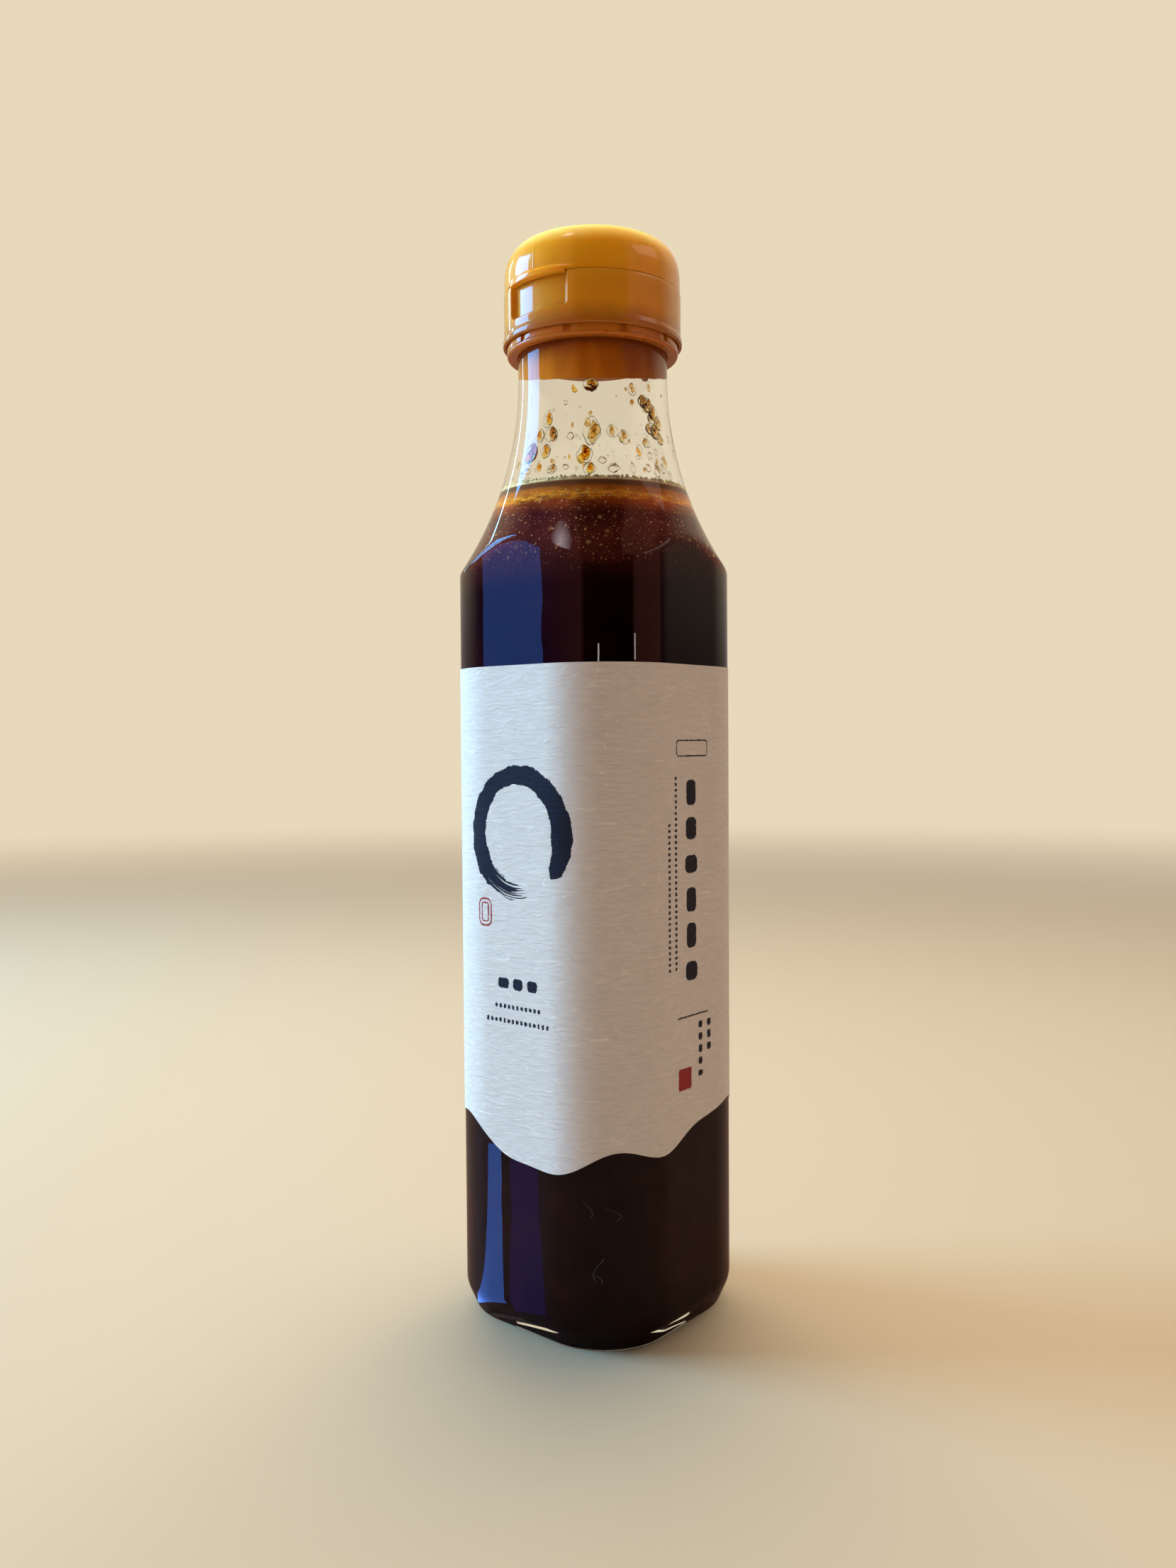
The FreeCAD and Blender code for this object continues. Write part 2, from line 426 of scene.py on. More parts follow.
def buildSauce():
    material, tree, sockets = newFinish("darkSauce", Roughness=0.6, Specular_IOR_Level=0.0)
    share = heightShare(tree, 0, 169)
    # Painted light: darkest low down, lighter up the shoulder and at the top edge
    base = colourBands(tree, share, [
        (0.0, sauceFinish["deep"]), (0.89, sauceFinish["middle"]), (0.945, sauceFinish["shoulder"]),
        (0.975, sauceFinish["shoulder"]), (1.0, sauceFinish["edge"]),
    ])
    place = objectPlace(tree)
    dim = noiseAt(tree, place, 110.0, 4.0, Roughness=0.6).remap(0.36, 0.6, 0.62, 0.0)
    base = mixColour(tree, dim, base, sauceFinish["shade"])
    near = share.remap(0.9, 0.96)
    for scale, size, strength, least in sauceFinish["flecks"]:
        distance, tone = cellsAt(tree, place, scale)
        dots = distance.remap(size * 0.35, size, 1.0, 0.0)
        base = mixColour(tree, dots * tone.remap(least, 0.9) * (near * strength), base, sauceFinish["fleck"])
    feed(sockets["Base Color"], addSeam(tree, base, sauceFinish["gold"]))
    return material


oilFinish = {
    # The low and top colours are painted light: a glow through the oil low down and a highlight along its top
    "low": (0.52, 0.14, 0.010), "body": (0.155, 0.055, 0.016), "top": (1.0, 0.76, 0.38),
    "gold": (1.0, 0.38, 0.016), "patch": (0.16, 0.035, 0.006),
}


def buildOil():
    material, tree, sockets = newFinish("amberOil", Roughness=0.5, Specular_IOR_Level=0.1)
    # Painted light: a glow low down, darker in the body, and a painted highlight along the top edge
    base = colourBands(tree, heightShare(tree, 168.9, 172.3), [
        (0.0, oilFinish["low"]), (0.3, oilFinish["low"]), (0.5, oilFinish["body"]), (0.74, oilFinish["body"]),
        (0.86, oilFinish["top"]),
    ])
    patch = noiseAt(tree, objectPlace(tree), 260.0, 3.0).remap(0.45, 0.75)
    base = mixColour(tree, patch * 0.8, base, oilFinish["patch"])
    feed(sockets["Base Color"], addSeam(tree, base, oilFinish["gold"]))
    return material


# Each plastic: its colour at the foot, darker there as painted shade, in the wall, and toward the top,
# lighter there as a painted glow of light from above, how rough it is, and how much light goes through it
plasticFinish = {
    "lid": {
        "foot": (0.95, 0.35, 0.004), "colour": (1.0, 0.40, 0.005), "paintedGlow": (1.0, 0.86, 0.26),
        "roughness": 0.36, "through": 0.08,
    },
    "collar": {
        "foot": (0.42, 0.125, 0.004), "colour": (0.72, 0.285, 0.005), "paintedGlow": (0.86, 0.37, 0.014),
        "roughness": 0.42, "through": 0.06,
    },
    "band": {
        "foot": (0.60, 0.155, 0.008), "colour": (0.60, 0.155, 0.008), "paintedGlow": (0.7, 0.22, 0.012),
        "roughness": 0.3, "through": 0.15,
    },
    "plug": {
        "foot": (0.6, 0.17, 0.010), "colour": (0.7, 0.2, 0.012), "paintedGlow": (0.8, 0.25, 0.02),
        "roughness": 0.35, "through": 0.1,
    },
}


def buildPlastic(name, low, high):
    values = plasticFinish[name]
    material, tree, sockets = newFinish(
        name + "Plastic", IOR=1.49, Coat_Weight=1.0, Coat_Roughness=0.04, Coat_IOR=1.7,
        Specular_IOR_Level=0.25, Transmission_Weight=values["through"], Subsurface_Weight=0.4,
        Subsurface_Scale=0.003, Subsurface_Radius=(1.0, 0.45, 0.08))
    place = objectPlace(tree)
    # Painted light: from painted shade at the foot to a painted glow at the top, by height with some noise
    rise = noiseAt(tree, place, 110.0, 3.0) * 0.3 + (heightShare(tree, low, high) - 0.15)
    base = colourBands(tree, rise, [
        (0.05, values["foot"]), (0.35, values["colour"]), (0.62, values["colour"]), (1.0, values["paintedGlow"]),
    ])
    feed(sockets["Base Color"], base)
    addWaver(tree, sockets, 0.1, 0.0003, Swell_Size=140.0, Fine_Size=2500.0, Fine_Share=0.12)
    rough = values["roughness"]
    grain = noiseAt(tree, place, 400.0, 4.0)
    feed(sockets["Roughness"], grain.remap(0.3, 0.7, rough - 0.05, rough + 0.07))
    return material


dropFinish = {
    "amber": {"light": (1.0, 0.84, 0.26), "mid": (1.0, 0.62, 0.07), "dark": (0.88, 0.40, 0.035)},
    "brown": {"light": (1.0, 0.88, 0.56), "mid": (0.90, 0.67, 0.31), "dark": (0.70, 0.43, 0.14)},
}


def buildDrop(name):
    # Wet clots with grains in them, painted dark at the top and painted lighter at the foot, as if lit through
    # there
    values = dropFinish[name]
    material, tree, sockets = newFinish(
        name + "Drop", Roughness=0.12, IOR=1.05, Transmission_Weight=1.0, Coat_Weight=0.6, Coat_Roughness=0.05)
    place = objectPlace(tree)
    tone = cellsAt(tree, place, 2400.0)[1]
    down = wire(tree, "ShaderNodeAttribute", output="Fac", attribute_name="downShare")
    share = tone * 0.5 + (down * 0.55 + (noiseAt(tree, place, 1000.0, 2.0) * 1.3 - 0.75))
    base = colourBands(tree, share, [(0.1, values["dark"]), (0.5, values["mid"]), (0.85, values["light"])])
    feed(sockets["Base Color"], base)
    addWaver(tree, sockets, 0.5, 0.00008, Swell_Size=1100.0, Fine_Size=2800.0, Fine_Share=0.5)
    return material


residueFinish = {"dark": (0.72, 0.18, 0.009), "mid": (0.94, 0.26, 0.013), "light": (1.0, 0.40, 0.035)}


def buildResidue():
    # Thin oily sauce that clings to the neck just under the closure
    material, tree, sockets = newFinish("thinResidue", Roughness=0.12, IOR=1.2, Transmission_Weight=0.2)
    streaks = stretch(tree, objectPlace(tree), (1.0, 1.0, 0.22))
    runs = noiseAt(tree, streaks, 330.0, 3.0)
    # Painted shade: the film darker toward the top, under the closure
    tone = runs * 0.9 + (heightShare(tree, 192.4, 202) * -0.35 - 0.1)
    base = colourBands(tree, tone, [
        (0.1, residueFinish["dark"]), (0.45, residueFinish["mid"]), (0.8, residueFinish["light"]),
    ])
    feed(sockets["Base Color"], base)
    addBump(tree, sockets, runs, 0.3, 0.0004)
    return material


waterFinish = {"tint": (0.99, 0.975, 0.94, 1), "lampTint": (0.98, 0.97, 0.94, 1)}


def buildWater():
    # The clear film that stands round each clot and the plain droplets
    material, tree, sockets = newFinish(
        "clearDrop", Base_Color=waterFinish["tint"], Roughness=0.01, IOR=1.16, Transmission_Weight=1.0)
    addWaver(tree, sockets, 0.25, 0.0001, Swell_Size=700.0, Fine_Size=2000.0, Fine_Share=0.3)
    lampsPass(tree, waterFinish["lampTint"])
    return material


def buildBead(name, colour, roughness):
    # Opaque beads painted bright, a painted glint for small bubbles
    material, tree, sockets = newFinish(name, Roughness=roughness, Specular_IOR_Level=0.7)
    tone = cellsAt(tree, objectPlace(tree), 700.0)[1]
    feed(sockets["Base Color"], mixColour(tree, tone, tuple(c * 0.5 for c in colour), colour))
    return material


finishes = {
    "glass": buildGlass(),
    "sauce": buildSauce(),
    "oil": buildOil(),
    "lid": buildPlastic("lid", 213, 223),
    "collar": buildPlastic("collar", 202, 216),
    "band": buildPlastic("band", 200, 204),
    "plug": buildPlastic("plug", 202, 211),
    "amber": buildDrop("amber"),
    "brown": buildDrop("brown"),
    "clear": buildWater(),
    "residue": buildResidue(),
    "gold": buildBead("goldBead", (1.0, 0.66, 0.16), 0.2),
    "froth": buildBead("frothBead", (1.0, 0.82, 0.46), 0.12),
}
print("finishes built:", len(finishes))


# One tree for every shape that is square below and turned above

def newTree(name, inputs):
    tree = bpy.data.node_groups.new(name, "GeometryNodeTree")
    tree.interface.new_socket("Geometry", in_out="INPUT", socket_type="NodeSocketGeometry")
    return tree, addInputs(tree, {**inputs, "Finish": None})


def closeTree(tree, geometry, finish):
    real = wire(tree, "GeometryNodeRealizeInstances", {0: geometry})
    dressed = wire(tree, "GeometryNodeSetMaterial", {"Geometry": real, "Material": finish})
    return closeWith(tree, "Geometry", "NodeSocketGeometry", dressed)


def buildTurnedSquare():
    # Each point of the line given holds a turned radius, an inset from the square, and a height
    tree, into = newTree("turnedSquare", {
        "Around": 256, "Half Side": 0.025, "Corner Radius": 0.0169, "Crease Blend": 0.0009,
    })
    position = wire(tree, "GeometryNodeInputPosition")
    size = addNode(tree, "GeometryNodeAttributeDomainSize", {0: into["Geometry"]}, component="MESH")
    count = Wire(tree, size.outputs["Point Count"])
    grid = wire(tree, "GeometryNodeMeshGrid", {
        "Size X": 1.0, "Size Y": 1.0, "Vertices X": into["Around"] + 1, "Vertices Y": count,
    }, "Mesh")
    x, y = split(tree, position)[:2]
    line = wire(tree, "GeometryNodeSampleIndex", {
        "Geometry": into["Geometry"], "Value": position, "Index": ((y + 0.5) * (count - 1)).op("ROUND"),
    }, data_type="FLOAT_VECTOR", domain="POINT")
    turned, inset, height = split(tree, line)
    angle = (x + 0.5) * (2 * math.pi)
    folded = abs((angle + math.pi / 4).op("FLOORED_MODULO", math.pi / 2) - math.pi / 4)
    cosine = folded.op("COSINE")
    face = into["Half Side"] - inset
    flat = into["Half Side"] - into["Corner Radius"]
    corner = into["Corner Radius"] - inset
    toward = flat * (cosine + folded.op("SINE"))
    under = corner * corner - (flat * flat * 2.0 - toward * toward)
    onCorner = toward + under.op("MAXIMUM", 0.0).op("SQRT")
    beyond = (face * folded.op("TANGENT")).op("GREATER_THAN", flat)
    square = onCorner * beyond + face / cosine * (1.0 - beyond)
    radius = square.op("SMOOTH_MIN", turned, into["Crease Blend"])
    spot = vectorOf(tree, radius * angle.op("COSINE"), radius * angle.op("SINE"), height)
    moved = wire(tree, "GeometryNodeSetPosition", {"Geometry": grid, "Position": spot})
    merged = wire(tree, "GeometryNodeMergeByDistance", {"Geometry": moved, "Distance": 0.000002})
    return closeTree(tree, wire(tree, "GeometryNodeSetShadeSmooth", {"Geometry": merged}), into["Finish"])


def growPiece(name, mesh, tree, values, sharpAngle=32):
    # Runs a tree on a mesh and keeps what it makes as a plain mesh
    piece = placeObject(name, mesh)
    modifier = piece.modifiers.new("shape", "NODES")
    modifier.node_group = tree
    for item in tree.interface.items_tree:
        if item.in_out == "INPUT" and item.name in values:
            modifier[item.identifier] = values[item.name]
    graph = bpy.context.evaluated_depsgraph_get()
    made = bpy.data.meshes.new_from_object(piece.evaluated_get(graph))
    piece.modifiers.remove(modifier)
    piece.data = made
    made.name = name
    finishShape(piece, sharpAngle)
    return piece


turnedSquare = buildTurnedSquare()

bottleShape = {
    "side": 50.0, "corner": 16.9, "wall": 2.6, "floor": 3.2, "bowl": 1.2, "around": 320,
    "crease": 0.4, "innerCrease": 0.7, "heelInset": 2.3, "heelHeight": 5.2,
    "punchDepth": 1.0, "punchRadius": 17.0, "coneRadius": 26.3, "coneHeight": 158.4, "coneAngle": 31.4,
    "shoulderPull": 18.4, "neckPull": 5.9, "neckRadius": 15.7, "neckStart": 195.5,
    "beadRadius": 16.25, "beadLow": 205.4, "beadHigh": 208.2, "mouth": 211.0,
    "sauceLevel": 169.0, "oilLevel": 172.1, "reach": 0.12,
}
wide = 40.0  # a turned radius too large to touch the square
sideTop = 146  # where the straight side gives way to the shoulder's points


def turnPiece(name, line, finish, crease=None, sharpAngle=32):
    # A piece square in plan where a crease is given, and plainly turned without one
    if crease is None:
        values = {"Around": 180, "Half Side": 1.0, "Corner Radius": 0.01, "Crease Blend": 0.0}
    else:
        shape = bottleShape
        values = {
            "Around": shape["around"], "Half Side": shape["side"] / 2 * mm,
            "Corner Radius": shape["corner"] * mm, "Crease Blend": crease * mm,
        }
    values["Finish"] = finishes[finish]
    mesh = bpy.data.meshes.new(name + "Line")
    edges = [(index, index + 1) for index in range(len(line) - 1)]
    mesh.from_pydata([tuple(c * mm for c in point) for point in line], edges, [])
    return growPiece(name, mesh, turnedSquare, values, sharpAngle)


def shoulderLine(inset):
    shape = bottleShape
    angle = math.radians(shape["coneAngle"])
    along = Vector((-math.sin(angle), math.cos(angle)))
    inward = Vector((math.cos(angle), math.sin(angle)))
    start = Vector((shape["coneRadius"], shape["coneHeight"])) - inward * inset
    end = Vector((shape["neckRadius"] - inset, shape["neckStart"]))
    first = start + along * shape["shoulderPull"]
    second = end - Vector((0, shape["neckPull"]))
    line = [start - along * (11 - 0.4 * step) for step in range(27)]
    for step in range(61):
        t = step / 60
        below = start * (1 - t) ** 3 + first * (3 * t * (1 - t) ** 2)
        line.append(below + second * (3 * t * t * (1 - t)) + end * t ** 3)
    return [tuple(point) for point in line]


def wallRadius(height, inset):
    # Radius of the turned shoulder and neck at a height, and how fast it falls
    line = shoulderLine(inset) + [(bottleShape["neckRadius"] - inset, 215.0)]
    for (r1, z1), (r2, z2) in zip(line, line[1:]):
        if z1 <= height <= z2 and z2 > z1:
            return r1 + (r2 - r1) * (height - z1) / (z2 - z1), (r2 - r1) / (z2 - z1)
    return line[-1][0], 0.0


def glassLine():
    shape = bottleShape
    wall, floor, neck = shape["wall"], shape["floor"], shape["neckRadius"]
    ball = (shape["punchRadius"] ** 2 + shape["punchDepth"] ** 2) / (2 * shape["punchDepth"])
    points = []
    for step in range(13):
        r = shape["punchRadius"] * step / 12
        points.append((r, 3.6, shape["punchDepth"] - ball + math.sqrt(ball ** 2 - r ** 2)))
    points.append((shape["punchRadius"] + 1.0, 3.6, 0.0))
    heel = [(3.9, 0.0), (shape["heelInset"], 0.0), (0.0, shape["heelHeight"]), (0.0, 14.0)]
    points += [(wide, inset, z) for inset, z in easeCorners(heel, [0, 1.2, 6.0, 0], 7)]
    points += [(wide, 0.0, z) for z in range(20, sideTop, 7)]
    points += [(r, 0.0, z) for r, z in shoulderLine(0.0)]
    rim = easeCorners([
        (neck, 196.0), (neck, shape["beadLow"]), (shape["beadRadius"], shape["beadLow"]),
        (shape["beadRadius"], shape["beadHigh"]), (neck, shape["beadHigh"]), (neck, shape["mouth"]),
        (neck - wall, shape["mouth"]), (neck - wall, 196.0),
    ], [0, 0.12, 0.45, 0.45, 0.12, 0.6, 0.6, 0], 5)
    points += [(r, 0.0, z) for r, z in shareOut(rim, 1.6)[1:-1]]
    points += [(r, wall, z) for r, z in reversed(shoulderLine(wall))]
    points += [(wide, wall, z) for z in range(sideTop - 1, 19, -7)]
    bowl = easeCorners([(wall, 14.0), (wall, floor), (7.0, floor)], [0, shape["bowl"], 0], 9)
    points += [(wide, inset, z) for inset, z in bowl]
    return points + [(r, 7.0, floor) for r in (16.0, 12.0, 8.0, 4.0, 0.0)]


def fillLine(low, high, lift):
    # What is poured in reaches a little way into the wall, so that no air shows between
    shape = bottleShape
    inset = shape["wall"] - shape["reach"]
    if low < 20:
        floor = shape["floor"] - shape["reach"]
        points = [(r, 7.0, floor) for r in (0.0, 4.0, 8.0, 12.0, 16.0)]
        bowl = easeCorners([(7.0, floor), (inset, floor), (inset, 14.0)], [0, shape["bowl"], 0], 9)
        points += [(wide, away, z) for away, z in bowl]
        points += [(wide, inset, z) for z in range(20, sideTop, 7)]
        points += [(r, inset, z) for r, z in shoulderLine(inset) if z < high - 0.05]
    else:
        reach = wallRadius(low, inset)[0]
        points = [(reach * step / 8, inset, low) for step in range(8)] + [(reach, inset, low)]
        points += [(r, inset, z) for r, z in shoulderLine(inset) if low + 0.05 < z < high - 0.05]
    reach = wallRadius(high, inset)[0]
    shares = (1.0, 0.66, 0.33, 0.0)
    if lift > 0:
        # The edge creeps up the glass
        top = wallRadius(high + lift, inset)[0]
        creep = [(0.16, 1.0), (0.3, 0.62), (0.55, 0.3), (0.95, 0.1), (1.5, 0.0)]
        points += [(reach, inset, high), (top, inset, high + lift * 0.9)]
        points += [(top - short, inset, high + lift * share) for short, share in creep]
        shares = (0.75, 0.5, 0.25, 0.0)
    return points + [(reach * share, inset, high) for share in shares]


print("blowing the bottle")
sauceTop, oilTop = bottleShape["sauceLevel"], bottleShape["oilLevel"]
glassPiece = turnPiece("bottleBody", glassLine(), "glass", bottleShape["crease"], 60)
saucePiece = turnPiece("sauceFill", fillLine(5.0, sauceTop, 0), "sauce", bottleShape["innerCrease"])
oilPiece = turnPiece("oilFill", fillLine(sauceTop, oilTop - 0.45, 0.5), "oil", bottleShape["innerCrease"])


# Paper label

labelShape = {
    "side": 50.0, "corner": 16.9, "thick": 0.15, "clear": 0.03, "top": 135.2, "low": 39.6, "swell": 3.3,
    "columns": 440, "rows": 44, "uvLow": 30.0, "uvTall": 110.0,
}


def labelEdge(angle):
    roll = math.sin(2 * angle + 0.9) + 0.55 * math.sin(5 * angle - 0.6)
    return labelShape["low"] + labelShape["swell"] * (roll + 0.25 * math.sin(9 * angle + 2.0))


def squarePath(offset, count):
    # Points round the rounded square from the middle of the back, even along its length
    flat = labelShape["side"] / 2 - labelShape["corner"]
    radius = labelShape["corner"] + offset
    arc = radius * math.pi / 2
    quarter = 2 * flat + arc
    path = []
    for index in range(count + 1):
        turn, rest = divmod(index / count * 4 * quarter, quarter)
        if rest < flat:
            x, y, nx, ny = rest, flat + radius, 0.0, 1.0
        elif rest < flat + arc:
            sweep = (rest - flat) / radius
            nx, ny = math.sin(sweep), math.cos(sweep)
            x, y = flat + radius * nx, flat + radius * ny
        else:
            x, y, nx, ny = flat + radius, flat - (rest - flat - arc), 1.0, 0.0
        for _ in range(int(turn) % 4):
            x, y, nx, ny = y, -x, ny, -nx
        path.append((x, y, nx, ny))
    return path, 4 * quarter


def buildLabel(material):
    shape = labelShape
    path = squarePath(shape["thick"], shape["columns"])[0]
    columns, rows = shape["columns"], shape["rows"]
    verts, faces, uvs = [], [], []

    def heightAt(column, row):
        x, y = path[column][:2]
        low = labelEdge(math.atan2(y, x))
        return low + (shape["top"] - low) * (row / rows)

    def addFace(corners):
        face = []
        for layer, column, row in corners:
            face.append((layer * columns + column % columns) * (rows + 1) + row)
            uvs.append((column / columns, (heightAt(column, row) - shape["uvLow"]) / shape["uvTall"]))
        faces.append(face)

    for layer in range(2):
        away = (shape["thick"] - shape["clear"]) * layer
        for column, (x, y, nx, ny) in enumerate(path[:-1]):
            for row in range(rows + 1):
                verts.append(((x - nx * away) * mm, (y - ny * away) * mm, heightAt(column, row) * mm))
    for column in range(columns):
        beside = column + 1
        for row in range(rows):
            addFace([(0, column, row), (0, column, row + 1), (0, beside, row + 1), (0, beside, row)])
            addFace([(1, column, row), (1, beside, row), (1, beside, row + 1), (1, column, row + 1)])
        addFace([(0, column, 0), (0, beside, 0), (1, beside, 0), (1, column, 0)])
        addFace([(1, column, rows), (1, beside, rows), (0, beside, rows), (0, column, rows)])
    mesh = bpy.data.meshes.new("labelSleeve")
    mesh.from_pydata(verts, [], faces)
    layer = mesh.uv_layers.new(name="labelMap")
    layer.data.foreach_set("uv", np.array(uvs, dtype=np.float32).ravel())
    mesh.materials.append(material)
    mesh.shade_smooth()
    mesh.set_sharp_from_angle(angle=math.radians(40))
    return placeObject("labelSleeve", mesh)


labelInk = {
    "ink": (0.006, 0.012, 0.03), "seal": (0.36, 0.016, 0.02), "paper": (0.81, 0.75, 0.755),
    "fibre": (0.92, 0.87, 0.87), "ringCentre": (0.5, 101.5), "ringRadius": 11.0, "ringHalf": 2.3,
    # How full the brush is along its sweep
    "load": ((0.0, 0.0), (0.02, 0.75), (0.12, 1.0), (0.42, 0.72), (0.7, 0.95), (0.88, 0.6), (0.955, 0.0)),
    # Loose fibres: how they lie, where, how wide
    "fibres": (
        (-1.15, 3.7, 0.010), (-0.62, 41.3, 0.009), (0.2, 77.9, 0.008), (0.75, 15.4, 0.010), (1.3, 58.6, 0.008),
    ),
}

# Blocks and outlines on the label: middle across and up from the front's middle, half sizes, rounding,
# and how thick a hollow one's wall is
labelBlocks = [
    (43.0, 118.5, 5.4, 1.7, 0.8, 0.28), (43.0, 64.5, 5.2, 0.16, 0.1, 100.0),
    (-43.0, 92.0, 13.5, 24.0, 1.2, 0.3), (-43.0, 79.0, 13.5, 0.14, 0.1, 100.0),
    (-43.0, 104.5, 13.5, 0.14, 0.1, 100.0),
]
labelSeals = [
    (-8.6, 85.5, 1.9, 2.9, 1.5, 0.34), (-8.6, 85.5, 1.05, 2.0, 0.6, 0.3), (40.2, 52.0, 2.2, 2.2, 0.5, 100.0),
]

# Columns and rows of dashes: is it upright, start, side, pitch, how many, share filled, half width, seed
labelDashes = [
    (True, 70.0, 42.6, 7.2, 6, 0.66, 2.1, 1.0), (True, 74.0, 37.4, 1.15, 34, 0.6, 0.42, 2.0),
    (True, 74.0, 35.2, 1.15, 26, 0.6, 0.42, 3.0), (True, 51.0, 45.6, 2.5, 5, 0.62, 0.8, 4.0),
    (True, 56.0, 48.6, 2.5, 3, 0.62, 0.8, 5.0),
    (False, -5.6, 71.5, 3.9, 3, 0.7, 1.35, 6.0), (False, -6.2, 66.8, 1.15, 11, 0.62, 0.5, 7.0),
    (False, -8.6, 63.9, 1.15, 15, 0.62, 0.5, 8.0),
    (False, -54.0, 112.4, 1.3, 15, 0.6, 0.55, 9.0), (False, -54.0, 109.4, 1.3, 12, 0.6, 0.45, 10.0),
]
# The lines of dashes on the back: height, how many, seed
backDashes = [
    (101.5, 18, 11.0), (98.7, 17, 12.0), (95.9, 18, 13.0), (93.1, 15, 14.0), (90.3, 18, 15.0), (87.5, 9, 16.0),
    (75.6, 14, 17.0), (72.6, 16, 18.0),
]
labelDashes += [(False, -54.0, side, 1.2, count, 0.6, 0.42, seed) for side, count, seed in backDashes]


def sumOf(masks):
    # Lays one mask over the next
    total = masks[0]
    for mask in masks[1:]:
        total = total.op("MAXIMUM", mask)
    return total


def brushRing(tree, across, up, place):
    # One loaded sweep of a wide brush: a ring that thins, breaks into streaks and trails off
    dx, dy = across - labelInk["ringCentre"][0], up - labelInk["ringCentre"][1]
    turn = ((dy.op("ARCTAN2", dx) + math.pi) / (2 * math.pi) + 0.62).op("FRACT")
    off = (dx * dx + dy * dy * 0.86).op("SQRT") - (turn * -1.1 + (labelInk["ringRadius"] + 0.5))
    load = colourBands(tree, turn, [(position, (value,) * 3) for position, value in labelInk["load"]])
    half = wire(tree, "ShaderNodeSeparateColor", {0: load}) * labelInk["ringHalf"]
    wobble = noiseAt(tree, place, 0.35, 3.0) * 1.6 - 0.8
    edge = noiseAt(tree, place, 2.6, 3.0) * 0.7 - 0.35
    ring = (abs(off) - (half + wobble + edge)).remap(-0.05, 0.05, 1.0, 0.0)
    # Bristle streaks run along the sweep where the brush is dry
    streak = noiseAt(tree, vectorOf(tree, turn * 5.0, off * 2.6), 1.0, 3.0)
    return ring * (streak - turn.remap(0.5, 0.95, 0.0, 0.62)).op("GREATER_THAN", -0.02)


def buildPaper(length):
    material, tree, sockets = newFinish(
        "labelPaper", Roughness=0.5, Specular_IOR_Level=0.42, Sheen_Weight=0.12, Sheen_Roughness=0.4)
    run, rise = split(tree, wire(tree, "ShaderNodeUVMap", uv_map="labelMap"))[:2]
    # Millimetres across from the middle of the front, and millimetres up from the table
    across = (run - 0.5) * -length
    up = rise * labelShape["uvTall"] + labelShape["uvLow"]
    place = vectorOf(tree, across, up)
    ragged = noiseAt(tree, place, 2.2, 3.0) * 0.5 - 0.25

    def block(values):
        labels = ("Centre Across", "Centre Up", "Half Width", "Half Height", "Round", "Hollow")
        inputs = {**dict(zip(labels, values)), "Across": across, "Up": up, "Ragged": ragged}
        return wire(tree, "ShaderNodeGroup", inputs, node_tree=inkPatch)

    def dashes(values):
        labels = ("Start", "Side", "Pitch", "Count", "Filled", "Half Width", "Seed")
        along, aside = (up, across) if values[0] else (across, up)
        inputs = {**dict(zip(labels, values[1:])), "Along": along, "Aside": aside, "Ragged": ragged}
        return wire(tree, "ShaderNodeGroup", {**inputs, "Broken": 0.26}, node_tree=inkMarks)

    dark = sumOf([brushRing(tree, across, up, place), *map(block, labelBlocks), *map(dashes, labelDashes)])
    red = sumOf([block(values) for values in labelSeals])

    # Crumpled paper: short ripples that run across, and long loose fibres laid over them
    rippled = stretch(tree, place, (0.22, 0.9, 1.0))
    ripple = noiseAt(tree, rippled, 1.5, 5.0, Roughness=0.62, Distortion=0.5)
    threads = []
    for angle, shift, width in labelInk["fibres"]:
        laid = stretch(
            tree, place, (0.045, 0.42, 1.0), Location=(shift, shift * 0.7, 0.0), Rotation=(0.0, 0.0, angle))
        thread = abs(noiseAt(tree, laid, 1.0, 0.0) - 0.5).remap(width * 0.4, width, 1.0, 0.0)
        threads.append(thread * noiseAt(tree, laid, 2.3, 0.0).remap(0.5, 0.6))
    fibre = sumOf(threads)

    paper = labelInk["paper"]
    base = mixColour(tree, noiseAt(tree, place, 0.11, 2.0) * 0.6, paper, tuple(c * 0.93 for c in paper))
    # Painted shade in the hollows of the ripples
    base = mixColour(tree, ripple.remap(0.36, 0.6, 0.3, 0.0), base, tuple(c * 0.7 for c in paper))
    base = mixColour(tree, fibre * 0.7, base, labelInk["fibre"])
    base = mixColour(tree, dark, base, labelInk["ink"])
    feed(sockets["Base Color"], mixColour(tree, red, base, labelInk["seal"]))
    addBump(tree, sockets, fibre * 0.16 + ripple, 0.85, 0.0003)
    feed(sockets["Roughness"], dark.op("MAXIMUM", red) * 0.12 + 0.5)
    return material


print("printing the label")
finishes["paper"] = buildPaper(squarePath(labelShape["thick"], 8)[1])
labelPiece = buildLabel(finishes["paper"])


# Closure

closureShape = {
    "seam": 213.0, "gap": 0.1, "collarRadius": 18.6, "around": 180,
    "recessHalf": 7.55, "recessLow": 205.9, "recessFloor": 17.35, "recessCorner": 1.3, "recessEdge": 0.7,
    "lidTop": 222.9, "lidRadius": 18.45, "lidWall": 1.35, "edgeAcross": 4.4, "edgeDown": 6.8,
    "lipCircle": 14.6, "lipReach": 19.4, "lipHalf": 7.1, "lipDrop": 0.5, "mouldLine": 0.05,
    "hingeReach": 18.9, "hingeRadius": 0.9, "hingeRoot": 17.4, "pads": 10, "padFirst": 3.0,
}


